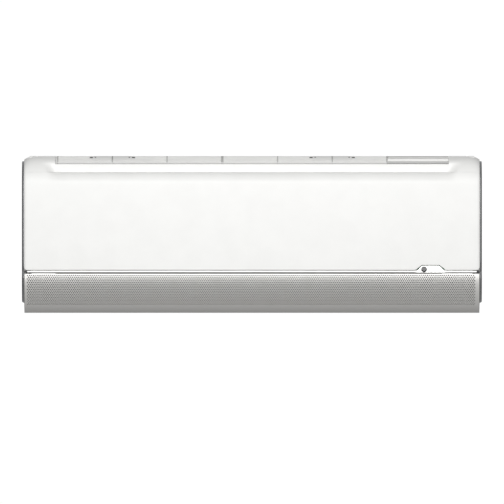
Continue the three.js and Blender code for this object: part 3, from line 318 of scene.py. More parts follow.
def make_piece(name, points, faces, finish, body, stands_for, crease):
    """A closed piece from its points and faces, smooth except across sharp corners."""
    mesh = bpy.data.meshes.new(name)
    mesh.from_pydata(points, [], faces)
    shape = bmesh.new()
    shape.from_mesh(mesh)
    bmesh.ops.remove_doubles(shape, verts=shape.verts, dist=MERGE_MM * MM)
    bmesh.ops.dissolve_degenerate(shape, edges=shape.edges, dist=SHORTEST_MM * MM)
    bmesh.ops.recalc_face_normals(shape, faces=shape.faces)
    for face in shape.faces:
        face.smooth = True
    for edge in shape.edges:
        edge.smooth = not (edge.is_manifold and edge.calc_face_angle(0) > math.radians(crease))
    shape.to_mesh(mesh)
    shape.free()
    mesh.materials.append(finish)
    piece = bpy.data.objects.new(name, mesh)
    bpy.context.collection.objects.link(piece)
    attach(piece, body)
    for node in stands_for:
        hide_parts(node)


class Shape:
    """Gathers the points and faces of one piece."""

    def __init__(self):
        self.points = []
        self.faces = []

    def add(self, points, faces):
        start = len(self.points)
        self.points.extend(points)
        self.faces.extend(tuple(start + i for i in face) for face in faces)

    def loft(self, sections, ring=False):
        """Closed sections joined in order; capped at both ends unless they close into a ring."""
        count = len(sections[0])
        points = [point for section in sections for point in section]
        faces = []
        for s in range(len(sections) if ring else len(sections) - 1):
            a = s * count
            b = ((s + 1) % len(sections)) * count
            for i in range(count):
                j = (i + 1) % count
                faces.append((a + i, a + j, b + j, b + i))
        if not ring:
            faces.append(tuple(range(count)))
            last = (len(sections) - 1) * count
            faces.append(tuple(last + i for i in reversed(range(count))))
        self.add(points, faces)

    def extrude(self, outline, x0, x1):
        """A straight length along X of an outline in (d, z)."""
        self.loft([[at(x, d, z) for d, z in outline] for x in (x0, x1)])

    def rod(self, x0, x1, d, z, radius, sides=24):
        """A round bar along X about an axis at (d, z)."""
        circle = arc(d, z, radius, 0, 360, sides)[:-1]
        self.extrude(circle, x0, x1)

    def bar(self, x0, x1, d0, d1, z0, z1, round_mm=0.0):
        """A straight bar along X, its long edges rounded."""
        r = min(round_mm, (d1 - d0) / 2.01, (z1 - z0) / 2.01)
        if r <= 0:
            self.extrude([(d0, z0), (d1, z0), (d1, z1), (d0, z1)], x0, x1)
            return
        corners = [(d1 - r, z1 - r, 0), (d0 + r, z1 - r, 90)]
        corners += [(d0 + r, z0 + r, 180), (d1 - r, z0 + r, 270)]
        section = [point for d, z, turn in corners for point in arc(d, z, r, turn, turn + 90, 4)]
        self.extrude(section, x0, x1)

    def make(self, name, finish, body, slot, stands_for=(), crease=38.0):
        make_piece(name, self.points, self.faces, finish, body, stands_for, crease)


# ---- the body's outer surface, in mm ----
BODY_HALF = 465.7
HALF_HEIGHT = 160.5
CROWN_RADIUS = 60.0
CROWN_D = 135.0
CROWN_Z = HALF_HEIGHT - CROWN_RADIUS
FRONT_D = 195.0
PANEL_FOOT_D = 190.0
PANEL_FOOT_Z = -72.0
FASCIA_D = 173.5
FASCIA_TOP = 143.7
CREASE_Z = 127.5
ROUNDING = 24.5
ROUNDING_Z = CREASE_Z - ROUNDING
SEAM_D = 150.0
SEAM_Z = CROWN_Z + math.sqrt(CROWN_RADIUS ** 2 - (SEAM_D - CROWN_D) ** 2)
GRILLE_HALF = 402.0
BLEND = 24.0
PIVOT_D = 130.0
PIVOT_Z = HALF_HEIGHT - 7
SKIN = 2.5
PANEL_SKIRT = 11.0
PANEL_EDGE = 0.6
PANEL_LIP = 0.8
PANEL_CORNER = 6.0
PANEL_END_WIDTH = 7.5
PANEL_END_DEPTH = 2.4
BAY_LEFT = BODY_HALF - 132
BAY_RIGHT = BAY_LEFT + 63.1
BAY_TOP = PANEL_FOOT_Z + 8.3
BAY_SLOPE = 14.3
BAY_FOOT_Z = PANEL_FOOT_Z - 1.8
# The panel's notch clears the bay by a margin; its slope has started at the knee.
NOTCH_MARGIN = 1.0
NOTCH_KNEE = 1.41
FASCIA_MARGIN = 4.0
FASCIA_FLARE = 12.0
END_FALL = 7.0
END_FALL_RUN = 30.0


def front_face(z):
    """Depth of the front's gently bowed face at a height."""
    t = clamp((CROWN_Z - z) / (CROWN_Z - PANEL_FOOT_Z))
    return FRONT_D - (FRONT_D - PANEL_FOOT_D) * t * t


def crown_depth(z):
    """Depth of the full section, with its round crown, at a height."""
    if z < CROWN_Z:
        return front_face(z)
    return CROWN_D + math.sqrt(max(0.0, CROWN_RADIUS ** 2 - (z - CROWN_Z) ** 2))


def fascia_section(z):
    """Depth of the section in front of the intake, set back above its rounding."""
    if z >= CREASE_Z:
        t = clamp((z - FASCIA_TOP) / (SEAM_Z - FASCIA_TOP))
        return FASCIA_D - (FASCIA_D - SEAM_D) * t * t
    if z < ROUNDING_Z:
        return front_face(z)
    face = front_face(ROUNDING_Z)
    drop = ROUNDING - math.sqrt(max(0.0, ROUNDING ** 2 - (z - ROUNDING_Z) ** 2))
    return face - drop * (face - FASCIA_D) / ROUNDING


def surface_depth(x, z):
    """Depth of the outer surface: the fascia between the grille's ends, the crown beyond them."""
    start = GRILLE_HALF - FASCIA_MARGIN + FASCIA_FLARE * clamp((z - CREASE_Z) / (FASCIA_TOP - CREASE_Z))
    share = smooth(clamp((abs(x) - start) / BLEND))
    return fascia_section(z) + (crown_depth(z) - fascia_section(z)) * share


def top_drop(x, z):
    """How far the crown falls towards the body's ends."""
    t = clamp((abs(x) - BODY_HALF + END_FALL_RUN) / END_FALL_RUN)
    return END_FALL * t ** 3 * clamp((z - CROWN_Z) / CROWN_RADIUS)


def end_inset(x):
    """How far the panel's face has drawn in at X, towards its softly rounded ends."""
    into = clamp(1 - (BODY_HALF - abs(x)) / PANEL_END_WIDTH)
    return PANEL_END_DEPTH * (1 - math.sqrt(1 - into ** 2))


# ---- front panel: a white moulding with a satin skin, set back at its top for the inlet ----
def panel_foot(x):
    """The panel's lower edge: corners rounded, and a notch over the sensor bay."""
    rise = BAY_TOP + NOTCH_MARGIN - BAY_FOOT_Z
    slope = BAY_SLOPE + NOTCH_MARGIN / 2
    left = (x - (BAY_LEFT - NOTCH_MARGIN)) / slope
    right = (BAY_RIGHT + NOTCH_MARGIN - x) / slope
    notch = BAY_FOOT_Z + rise * clamp(min(left, right))
    corner = PANEL_FOOT_Z - PANEL_LIP
    into = PANEL_CORNER - (BODY_HALF - abs(x))
    if into > 0:
        corner += PANEL_CORNER - math.sqrt(max(0.0, PANEL_CORNER ** 2 - into ** 2))
    return max(corner, notch)


def panel_heights(x, top):
    """Heights of the panel's section at X, from its upper edge down to its foot."""
    foot = panel_foot(x)
    upper = spread(SEAM_Z, FASCIA_TOP, 8) + spread(FASCIA_TOP, CREASE_Z, 3)[1:-1]
    upper += [CREASE_Z + 0.9, CREASE_Z + 0.3]
    turned = [ROUNDING_Z + ROUNDING * math.cos(math.radians(a)) for a in spread(3, 90, 14)]
    face_end = PANEL_FOOT_Z + 14
    face = spread(ROUNDING_Z, face_end, 6)[1:]
    low = spread(face_end, foot + PANEL_EDGE, 3)[1:]
    lip = [foot + PANEL_EDGE * (1 - math.sin(math.radians(a))) for a in spread(0, 90, 5)[1:]]
    heights = upper + [CREASE_Z - 0.2] + turned + face + low
    return [min(z, top) for z in heights], lip


def panel_section(x, top, inset):
    """The panel's closed section at X: its outer line, and back along its inner one."""
    heights, lip = panel_heights(x, top)
    ends = end_inset(x)
    outer = [(surface_depth(x, z) - ends, z) for z in heights]
    last_d = outer[-1][0]
    for i, z in enumerate(lip):
        turn = math.radians(90 * (i + 1) / len(lip))
        outer.append((last_d - PANEL_EDGE * (1 - math.cos(turn)), z))
    inner = []
    count = len(heights)
    for i in range(count):
        before = outer[max(0, i - 1)]
        after = outer[min(count - 1, i + 1)]
        along = Vector((after[0] - before[0], after[1] - before[1]))
        if along.length < 1e-6:
            along = Vector((0.0, -1.0))
        along.normalize()
        inner.append((outer[i][0] + along.y * inset, outer[i][1] - along.x * inset))
    foot_z = outer[-1][1]
    bevel_rise, bevel_run = 0.8, 0.4
    inner[-1] = (inner[-1][0], foot_z + bevel_rise)
    inner.append((inner[-1][0] + bevel_run, foot_z))
    return [at(x, d, z - top_drop(x, z)) for d, z in outer + inner[::-1]]


def panel_stations():
    """The X places of the panel's sections, closer together where its shape changes."""
    blend_end = GRILLE_HALF + BLEND + 8
    blend = spread(GRILLE_HALF, blend_end, 14)
    end = spread(blend_end, BODY_HALF - PANEL_CORNER, 8)[1:-1]
    turns = [math.radians(a) for a in spread(0, 90, 12)]
    corner = [BODY_HALF - PANEL_CORNER + PANEL_CORNER * math.sin(turn) for turn in turns]
    half = blend + end + [BODY_HALF - PANEL_END_WIDTH] + corner[1:]
    slope_end = BAY_SLOPE - NOTCH_MARGIN / 2
    bay = [BAY_LEFT - NOTCH_MARGIN, BAY_LEFT + NOTCH_KNEE, BAY_LEFT + slope_end]
    bay += [BAY_RIGHT - slope_end, BAY_RIGHT - NOTCH_KNEE, BAY_RIGHT + NOTCH_MARGIN]
    fascia_half = GRILLE_HALF - FASCIA_MARGIN
    middle = spread(-fascia_half, fascia_half, 16) + [-GRILLE_HALF + 2, GRILLE_HALF - 2]
    return sorted([-x for x in half] + middle + bay + half)


# Hinge arms: the corners of their outline lie ahead of the pivot and below it.
ARM_CORNERS = [(18, 5.5), (24, 9.5), (37.5, 10.3), (48, 20.5), (51, 16.5), (42, 6.5), (30, 0)]
ARM_EYE = 4.0
ARM_HALF = 2.0
ARM_INSET = 25.7
PIN_RADIUS = 2.5
PIN_REACH = 7.0


def panel_sections():
    """The panel's sections in order, doubled where its top edge or its thickness steps."""
    sections = []
    skirt_start = BODY_HALF - SKIN
    for x in panel_stations():
        inset = PANEL_SKIRT if abs(x) > skirt_start else SKIN
        if abs(abs(x) - GRILLE_HALF) < 1e-6:
            pair = [panel_section(x, SEAM_Z, inset), panel_section(x, FASCIA_TOP, inset)]
            sections.extend(pair if x < 0 else pair[::-1])
            continue
        top = FASCIA_TOP if abs(x) <= GRILLE_HALF else SEAM_Z
        sections.append(panel_section(x, top, inset))
    for side in (-1, 1):
        where = side * skirt_start
        near = [panel_section(where, SEAM_Z, SKIN), panel_section(where, SEAM_Z, PANEL_SKIRT)]
        place = next(i for i, s in enumerate(sections) if s[0][0] > where * MM)
        sections[place:place] = near if side > 0 else near[::-1]
    return sections


def make_front_panel():
    """The panel with its two hinge arms and their pins."""
    panel = Shape()
    panel.loft(panel_sections())
    for side in (-1, 1):
        centre = side * (BODY_HALF - ARM_INSET)
        arm = arc(PIVOT_D, PIVOT_Z, ARM_EYE, 100, 250, 10)
        arm += [(PIVOT_D + ahead, PIVOT_Z - below) for ahead, below in ARM_CORNERS]
        arm.append((SEAM_D + 1.5, SEAM_Z - 2.4))
        panel.extrude(arm, centre - ARM_HALF, centre + ARM_HALF)
        pin = sorted((centre, side * (abs(centre) + PIN_REACH)))
        panel.rod(*pin, PIVOT_D, PIVOT_Z, PIN_RADIUS)
    panel.make("panel_moulding", white_abs, "panel", "white_abs", ["front_panel"], crease=32.0)


make_front_panel()


# ---- silver strip between panel and door, with the raised sensor bay and its lens ----
STRIP_BACK = 183.3
STRIP_FRONT = 189.0
LENS_X = BAY_LEFT + 18
LENS_Z = PANEL_FOOT_Z + 0.6
STRIP_END = BODY_HALF - 6.6
STRIP_LOW = PANEL_FOOT_Z - 7.2
STRIP_HIGH = PANEL_FOOT_Z - 2.0
STRIP_FACE = (PANEL_FOOT_Z - 5.0, PANEL_FOOT_Z - 2.5)
BAY_LOW = PANEL_FOOT_Z - 6.2
BAY_ROUNDING = 2.2
BAY_EDGE = 0.8
# (depth, radius) of the lens from its back to the middle of its slightly domed face.
LENS_RINGS = [(184.6, 6.0), (189.05, 6.0), (189.3, 5.8), (189.45, 5.2), (189.5, 3.0), (189.52, 0.3)]


def make_silver_strip():
    """A bar with a narrow bright face, and the sensor bay standing up from it."""
    strip = Shape()
    low, high = STRIP_FACE
    section = [(STRIP_BACK, STRIP_LOW), (STRIP_FRONT - 1.5, STRIP_LOW + 0.3), (STRIP_FRONT - 0.5, low)]
    section += [(STRIP_FRONT - 0.1, low + 0.3), (STRIP_FRONT, (low + high) / 2)]
    section += [(STRIP_FRONT - 0.1, high - 0.3), (STRIP_FRONT - 0.5, high), (STRIP_BACK, STRIP_HIGH)]
    strip.extrude(section, -STRIP_END, STRIP_END)
    strip.loft(bay_rings())
    strip.make("silver_strip", bright_paint, "casing", "silver_door", ["silver_trim_strip"])


def make_strip_end_shade():
    """Dark bars in the gap beyond both ends of the strip, painted shade for that gap."""
    stops = Shape()
    for side in (-1, 1):
        ends = sorted((side * (STRIP_END + 0.2), side * (BODY_HALF - 0.4)))
        depths = (STRIP_BACK + 0.2, STRIP_FRONT - 1.8)
        stops.bar(*ends, *depths, STRIP_LOW + 0.1, PANEL_FOOT_Z - 1.4, 0.3)
    stops.make("strip_end_shade", black_plastic, "casing", "black_plastic")


def bay_outline(inset):
    """The bay's trapezoid in (x, z), drawn in by an inset, its upper corners rounded."""
    lean = BAY_SLOPE / (BAY_TOP - BAY_FOOT_Z) * 0.85
    sides = inset * 1.5
    outline = [(BAY_LEFT + sides, BAY_LOW + inset), (BAY_RIGHT - sides, BAY_LOW + inset)]
    top = BAY_TOP - inset
    right = BAY_RIGHT - BAY_SLOPE - inset * 0.6
    left = BAY_LEFT + BAY_SLOPE + inset * 0.6
    for step in spread(0, 1, 5):
        back = BAY_ROUNDING * (1 - step) ** 2
        ahead = BAY_ROUNDING * step ** 2
        outline.append((right + back * lean - ahead, top - back))
    for step in spread(0, 1, 5):
        ahead = BAY_ROUNDING * (1 - step) ** 2
        back = BAY_ROUNDING * step ** 2
        outline.append((left - back * lean + ahead, top - back))
    return outline


def bay_rings():
    """The bay from its back to its face, whose edge is rounded."""
    rings = [[at(x, STRIP_BACK, z) for x, z in bay_outline(0)]]
    for turn in (math.radians(a) for a in spread(0, 90, 4)):
        inset = BAY_EDGE * (1 - math.cos(turn))
        depth = STRIP_FRONT - BAY_EDGE * (1 - math.sin(turn))
        rings.append([at(x, depth, z) for x, z in bay_outline(inset)])
    return rings


def make_lens():
    """The round smoked window in the bay."""
    lens = Shape()
    turns = [math.radians(a) for a in spread(0, 360, 40)[:-1]]
    rings = []
    for depth, radius in LENS_RINGS:
        rings.append([at(LENS_X + radius * math.cos(turn), depth, LENS_Z + radius * math.sin(turn))
                      for turn in turns])
    lens.loft(rings)
    lens.make("sensor_window", smoked_lens, "casing", "lens", ["sensor_lens"])


make_silver_strip()
make_strip_end_shade()
make_lens()


# ---- perforated outlet door: pressed skin with staggered holes, between two end plates ----
DOOR_RADIUS = 89.0
DOOR_TURN = 43.0
DOOR_CENTRE = (FRONT_D - DOOR_RADIUS, -81.0)
DOOR_TOP_ANGLE = 0.6
ARC_END_Z = DOOR_CENTRE[1] - DOOR_RADIUS * math.sin(math.radians(DOOR_TURN))
FOOT_RADIUS = (HALF_HEIGHT + ARC_END_Z) / (1 - math.sin(math.radians(DOOR_TURN)))
FOOT_CENTRE_D = DOOR_CENTRE[0] + (DOOR_RADIUS - FOOT_RADIUS) * math.cos(math.radians(DOOR_TURN))
FOOT_CENTRE = (FOOT_CENTRE_D, FOOT_RADIUS - HALF_HEIGHT)
FIRST_ARC = DOOR_RADIUS * math.radians(DOOR_TURN + DOOR_TOP_ANGLE)
DOOR_LENGTH = FIRST_ARC + FOOT_RADIUS * math.radians(90 - DOOR_TURN)
DOOR_HALF = BODY_HALF - 0.3
DOOR_CORNER = 7.0
DOOR_EDGE = 1.3
DOOR_BAND = 11.0
DOOR_PIVOT = (128.0, -152.0)
DOOR_HUB_RADIUS = 8.0
DOOR_PIN_RADIUS = 3.0
DOOR_END_THICKNESS = 5.0
DOOR_PIN_DEPTHS = (1.0, 12.0)
# Depths and side margin of the black sheet behind the holes, painted shade seen through them.
HOLE_SHADE_DEPTHS = (SKIN + 0.2, SKIN + 0.6)
HOLE_SHADE_MARGIN = 4.0
HOLE_PITCH = 4.28
ROW_PITCH = HOLE_PITCH * math.sqrt(3) / 2
HOLE_ROWS = 19
HOLE_COLUMNS = 214
HOLE_RADIUS = 1.4
HOLE_SIDES = 8
FIRST_ROW = 3.75
HOLES_LEFT = -458.6
# Half steps that one plain face spans above and below the holes.
PLAIN_SPAN = 10


def door_point(run, inset):
    """(d, z) of the door's section, a run along its skin from the top edge."""
    if run < FIRST_ARC:
        angle = math.radians(DOOR_TOP_ANGLE) - run / DOOR_RADIUS
        centre, radius = DOOR_CENTRE, DOOR_RADIUS
    else:
        angle = -math.radians(DOOR_TURN) - (run - FIRST_ARC) / FOOT_RADIUS
        centre, radius = FOOT_CENTRE, FOOT_RADIUS
    reach = radius - inset
    return centre[0] + reach * math.cos(angle), centre[1] + reach * math.sin(angle)


def door_place(x, run, inset):
    """A door point, drawn in where the ends and the top corners are rounded."""
    into = DOOR_EDGE - min(DOOR_HALF - abs(x), run)
    if inset == 0 and into > 0:
        inset = DOOR_EDGE - math.sqrt(max(0.0, DOOR_EDGE ** 2 - into ** 2))
    corner = DOOR_CORNER - (DOOR_HALF - abs(x))
    if corner > 0:
        cut = DOOR_CORNER - math.sqrt(max(0.0, DOOR_CORNER ** 2 - corner ** 2))
        run = max(run, cut)
    d, z = door_point(run, inset)
    return at(x, d, z)


class DoorSkin:
    """The door's two faces on one net of (half pitch, row edge) points, joined by hole walls."""

    def __init__(self):
        self.shape = Shape()
        self.known = {}

    def point(self, x, run, inset):
        """The number of a net point, made once and shared by the faces around it."""
        key = (round(x, 3), round(run, 3), inset)
        if key not in self.known:
            self.known[key] = len(self.shape.points)
            self.shape.points.append(door_place(x, run, inset))
        return self.known[key]

    def face(self, corners, inset):
        """A face of the outer or the inner side; none where its corners have closed up."""
        face = tuple(self.point(x, run, inset) for x, run in corners)
        if len(set(face)) > 2:
            self.shape.faces.append(face if inset == 0 else face[::-1])

    def hole_cell(self, x, run):
        """One cell of the net with its hole: both faces and the hole's wall."""
        half = HOLE_PITCH / 2
        tall = ROW_PITCH / 2
        right, left, above, below = x + half, x - half, run - tall, run + tall
        turns = [2 * math.pi * i / HOLE_SIDES for i in range(HOLE_SIDES)]
        ring = [(x + HOLE_RADIUS * math.cos(a), run + HOLE_RADIUS * math.sin(a)) for a in turns]
        faces = [[ring[7], (right, above), (right, below), ring[1], ring[0]]]
        faces.append([ring[1], (right, below), (x, below), ring[2]])
        faces.append([ring[2], (x, below), (left, below), ring[3]])
        faces.append([ring[3], (left, below), (left, above), ring[5], ring[4]])
        faces.append([ring[5], (left, above), (x, above), ring[6]])
        faces.append([ring[6], (x, above), (right, above), ring[7]])
        for inset in (0, SKIN):
            for corners in faces:
                self.face(corners, inset)
        for i in range(HOLE_SIDES):
            self.wall(ring[(i + 1) % HOLE_SIDES], ring[i])

    def wall(self, start, end, flip=False):
        """A face across the skin's thickness between two places on it."""
        outer = (self.point(*start, 0), self.point(*end, 0))
        inner = (self.point(*end, SKIN), self.point(*start, SKIN))
        face = outer + inner
        self.shape.faces.append(face[::-1] if flip else face)

    def strip(self, xs, a, b):
        """Plain faces on both sides of the skin between neighbouring xs."""
        for x0, x1 in zip(xs, xs[1:]):
            for inset in (0, SKIN):
                self.face([(x0, a), (x1, a), (x1, b), (x0, b)], inset)


def row_edge(row):
    """The run at which a row of holes begins."""
    return FIRST_ROW + (row - 0.5) * ROW_PITCH


def half_step(i):
    """X of the net's columns, half a pitch apart."""
    return HOLES_LEFT + (i - 1) * HOLE_PITCH / 2


LAST_COLUMN = 2 * HOLE_COLUMNS + 1


def add_hole_rows(net, left_xs, right_xs):
    """The rows of holes, each with plain skin beyond its ends."""
    for row in range(HOLE_ROWS):
        shift = row % 2
        for k in range(HOLE_COLUMNS):
            net.hole_cell(HOLES_LEFT + (k + shift / 2) * HOLE_PITCH, FIRST_ROW + row * ROW_PITCH)
        a, b = row_edge(row), row_edge(row + 1)
        spare = (0, 1) if shift else (LAST_COLUMN - 1, LAST_COLUMN)
        net.strip([half_step(i) for i in spare], a, b)
        net.strip(left_xs + [half_step(0)], a, b)
        net.strip([half_step(LAST_COLUMN)] + right_xs, a, b)


def add_plain_bands(net, columns, posts, bands):
    """Plain skin above and below the rows, meeting every column only beside the holes."""
    for inset in (0, SKIN):
        for runs in bands:
            for a, b in zip(runs, runs[1:]):
                for first, after in zip(posts, posts[1:]):
                    plain = [columns[first], columns[after]]
                    fine = columns[first:after + 1]
                    near = fine if a == row_edge(HOLE_ROWS) else plain
                    far = fine if b == row_edge(0) else plain
                    net.face([(x, a) for x in near] + [(x, b) for x in reversed(far)], inset)


def add_skin_edges(net, xs, runs):
    """The thickness of the skin along its top, its foot and both ends."""
    for run, flip in ((0, True), (DOOR_LENGTH, False)):
        for x0, x1 in zip(xs, xs[1:]):
            net.wall((x0, run), (x1, run), flip)
    for x, flip in ((xs[0], False), (xs[-1], True)):
        for a, b in zip(runs, runs[1:]):
            net.wall((x, a), (x, b), flip)


def make_door_skin():
    """The door's curved skin, perforated from its top edge down to its foot."""
    net = DoorSkin()
    corner = [DOOR_CORNER * math.sin(math.radians(a)) for a in spread(0, 90, 10)]
    end_xs = sorted({round(DOOR_HALF - DOOR_CORNER + c, 3) for c in corner})
    left_xs = [-x for x in reversed(end_xs) if -x < half_step(0) - 0.4]
    right_xs = [x for x in end_xs if x > half_step(LAST_COLUMN) + 0.4]
    add_hole_rows(net, left_xs, right_xs)
    columns = left_xs + [half_step(i) for i in range(LAST_COLUMN + 1)] + right_xs
    first_hole = len(left_xs)
    last_hole = first_hole + LAST_COLUMN
    posts = list(range(first_hole)) + list(range(first_hole, last_hole, PLAIN_SPAN))
    posts += list(range(last_hole, len(columns)))
    turns = [math.radians(a) for a in spread(90, 0, 4)]
    above = [DOOR_EDGE * (1 - math.sin(turn)) for turn in turns] + [row_edge(0)]
    below = spread(row_edge(HOLE_ROWS), DOOR_LENGTH, 12)
    add_plain_bands(net, columns, posts, (above, below))
    runs = above + [row_edge(r) for r in range(1, HOLE_ROWS)] + below
    add_skin_edges(net, [columns[i] for i in posts], runs)
    net.shape.make("door_skin", silver_paint, "door", "silver_door", ["outlet_door"], crease=40.0)


def make_door_hole_shade():
    """A black sheet just behind the holes: painted shade for the dark inside of the door seen through
    them.
    """
    net = Shape()
    runs = spread(2.0, row_edge(HOLE_ROWS) + 3, 24)
    near, far = HOLE_SHADE_DEPTHS
    section = [door_point(run, near) for run in runs]
    section += [door_point(run, far) for run in reversed(runs)]
    net.extrude(section, -DOOR_HALF + HOLE_SHADE_MARGIN, DOOR_HALF - HOLE_SHADE_MARGIN)
    net.make("door_hole_shade_sheet", black_plastic, "door", "black_plastic")


def make_door_ends():
    """End plates inside the skin, with the hubs and pins the door turns on."""
    ends = Shape()
    for side in (-1, 1):
        runs = spread(DOOR_CORNER * 0.9, DOOR_LENGTH, 30)
        band = [door_point(run, SKIN - 0.3) for run in runs]
        band += [door_point(run, DOOR_BAND) for run in reversed(runs)]
        plate = sorted((side * (DOOR_HALF - 0.02), side * (DOOR_HALF - DOOR_END_THICKNESS)))
        ends.extrude(band, *plate)
        ends.rod(*plate, *DOOR_PIVOT, DOOR_HUB_RADIUS, 32)
        pin = sorted(side * (DOOR_HALF - depth) for depth in DOOR_PIN_DEPTHS)
        ends.rod(*pin, *DOOR_PIVOT, DOOR_PIN_RADIUS)
    ends.make("door_end_plates", silver_paint, "door", "silver_door")


make_door_skin()
make_door_hole_shade()
make_door_ends()


# ---- intake: two lift-out filters behind fine slats, and the closed ribbed end over the electrics ----
GRILLE_TOP = HALF_HEIGHT - 0.9
FILTER_REAR = 22.0
FILTER_BEND = 140.0
FILTER_FRONT = (168.0, HALF_HEIGHT - 14)
FILTER_LEFT = -398.5
FILTER_WIDTH = 337.8
ELECTRICS_LEFT = 277.4
RIB_WIDTH = 2.4
SLAT_PITCH = 5.2
SLAT_EDGE = 0.3
TAB_HALF = 40.0
# Drops of each piece's two faces below the intake's outer face.
NET_DROPS = (1.5, 2.1)
RIB_DROPS = (-0.7, 4.0)
GRILLE_DROPS = (-0.2, 3.0)
TAB_DROPS = (-0.7, 0.7)
LID_RIB_DROPS = (0.4, 1.4)
RAIL_DROPS = (0.0, 3.0)
REAR_RAIL_DEPTH = 5.0
FILTER_CLEARANCE = 0.3
NET_INSET = 1.0
LID_MARGIN = 0.6
# (width, depth below the intake's line, height above it) of a slat.
FILTER_SLAT = (2.6, 1.5, 0.6)
LID_SLAT = (3.0, 1.2, 0.6)
# Finger slots: their depths from the wall, gap beyond the tab, top and, for each of two steps,
# (reach below the tab, half width, foot), the top and the feet measured down from the intake's top.
SLOT_DEPTHS = (151.2, 152.2)
SLOT_GAP = 3.2
SLOT_TOP = 1.1
SLOT_STEPS = [(0, 3.0, 3.4), (8.5, 1.4, 2.4)]


def intake_line(drop):
    """The intake's section from the wall to its front edge, a drop below its outer face."""
    bend, top = FILTER_BEND, GRILLE_TOP
    corners = [(FILTER_REAR, top), (bend - 4, top), (bend + 2, top - 0.6), (bend + 8, top - 2.2)]
    corners += [(bend + 14, top - 4.6), (bend + 20, top - 7.9), (bend + 25, top - 11.3), FILTER_FRONT]
    line = []
    for i, (d, z) in enumerate(corners):
        before = corners[max(0, i - 1)]
        after = corners[min(len(corners) - 1, i + 1)]
        along = Vector((after[0] - before[0], after[1] - before[1])).normalized()
        line.append((d + along.y * drop, z - along.x * drop))
    return line


def band_section(outer_drop, inner_drop):
    """A closed band between two drops below the intake's outer face."""
    return intake_line(outer_drop) + intake_line(inner_drop)[::-1]


def along_intake(spacing, start):
    """Places and directions at even runs along the intake's section."""
    line = intake_line(0)
    places = []
    run = start
    for (d0, z0), (d1, z1) in zip(line, line[1:]):
        length = math.hypot(d1 - d0, z1 - z0)
        ahead = ((d1 - d0) / length, (z1 - z0) / length)
        while run < length:
            t = run / length
            places.append((d0 + (d1 - d0) * t, z0 + (z1 - z0) * t, *ahead))
            run += spacing
        run -= length
    return places


def add_slats(shape, x0, x1, width, depth, proud):
    """Slats along X, standing on the intake's line, their outer edges bevelled."""
    half = width / 2
    flat = half * 0.6
    bevel = proud - SLAT_EDGE
    outline = [(-half, -depth), (half, -depth), (half, bevel)]
    outline += [(flat, proud), (-flat, proud), (-half, bevel)]
    for d, z, ahead_d, ahead_z in along_intake(SLAT_PITCH, 3.0):
        section = [(d + ahead_d * shift - ahead_z * out, z + ahead_z * shift + ahead_d * out)
                   for shift, out in outline]
        shape.extrude(section, x0, x1)


def make_filter_net(node, body, x0, x1):
    net = Shape()
    net.extrude(band_section(*NET_DROPS), x0 + NET_INSET, x1 - NET_INSET)
    net.make(node + "_net", filter_net, body, "grey_abs")


def make_filter_ribs(node, body, rib_places):
    ribs = Shape()
    for rib in rib_places:
        ribs.extrude(band_section(*RIB_DROPS), rib, rib + RIB_WIDTH)
    ribs.make(node + "_ribs", rib_painted_shade, body, "white_abs")


def make_filter_grille(node, body, x0, x1):
    """The slats, with a rail along the rear edge and one along the front edge."""
    grille = Shape()
    add_slats(grille, x0, x1, *FILTER_SLAT)
    edge, under = (intake_line(drop) for drop in GRILLE_DROPS)
    rear = [edge[0], (edge[0][0] + REAR_RAIL_DEPTH, edge[0][1])]
    rear += [(under[0][0] + REAR_RAIL_DEPTH, under[0][1]), under[0]]
    grille.extrude(rear, x0, x1)
    grille.extrude([edge[-1], edge[-2], under[-2], under[-1]], x0, x1)
    grille.make(node + "_grille", white_abs, body, "white_abs", [node])


def make_filter_tab(node, body, middle):
    """The pull tab over the bend, and finger slots at its ends painted dark as shade, shallower below
    it.
    """
    tab = Shape()
    outer, inner = (intake_line(drop)[1:6] for drop in TAB_DROPS)
    tab.extrude(outer + inner[::-1], middle - TAB_HALF, middle + TAB_HALF)
    tab.make(node + "_tab", white_abs, body, "white_abs")
    # Dark boxes in the finger slots: painted shade.
    slots = Shape()
    rear, front = SLOT_DEPTHS
    top = GRILLE_TOP - SLOT_TOP
    for side in (-1, 1):
        centre = middle + side * (TAB_HALF + SLOT_GAP)
        for reach, half, drop in SLOT_STEPS:
            place = centre - side * reach
            foot = GRILLE_TOP - drop
            section = [(rear, top), (front, top), (front, foot), (rear, foot)]
            slots.extrude(section, place - half, place + half)
    slots.make(node + "_tab_slot_shade", groove_painted_shade, body, "black_plastic")


def make_filter(index, node, body):
    """One lift-out filter: net, ribs, slats and rails, and its pull tab."""
    x0 = FILTER_LEFT + index * FILTER_WIDTH + FILTER_CLEARANCE
    x1 = x0 + FILTER_WIDTH - FILTER_CLEARANCE
    bay = x1 - x0 - RIB_WIDTH
    rib_places = [x0 + bay * i / 3 for i in range(4)]
    make_filter_net(node, body, x0, x1)
    make_filter_ribs(node, body, rib_places)
    make_filter_grille(node, body, x0, x1)
    make_filter_tab(node, body, rib_places[index + 1] + RIB_WIDTH / 2)


def make_closed_end():
    """Ribs over the closed lid of the electrics, part of the fixed casing."""
    ribs = Shape()
    x0 = ELECTRICS_LEFT + LID_MARGIN
    x1 = GRILLE_HALF - LID_MARGIN
    ribs.extrude(band_section(*LID_RIB_DROPS), x0, x1)
    add_slats(ribs, x0, x1, *LID_SLAT)
    ribs.make("electrics_cover_ribs", rib_painted_shade, "casing", "white_abs")


def make_intake_end():
    """The white rail beside the left filter."""
    rail = Shape()
    rail.extrude(band_section(*RAIL_DROPS), -GRILLE_HALF + 0.4, FILTER_LEFT - 0.1)
    rail.make("intake_end_rail", white_abs, "casing", "white_abs")


make_intake_end()
make_filter(0, "filter_left", "left_filter")
make_filter(1, "filter_right", "right_filter")
make_closed_end()


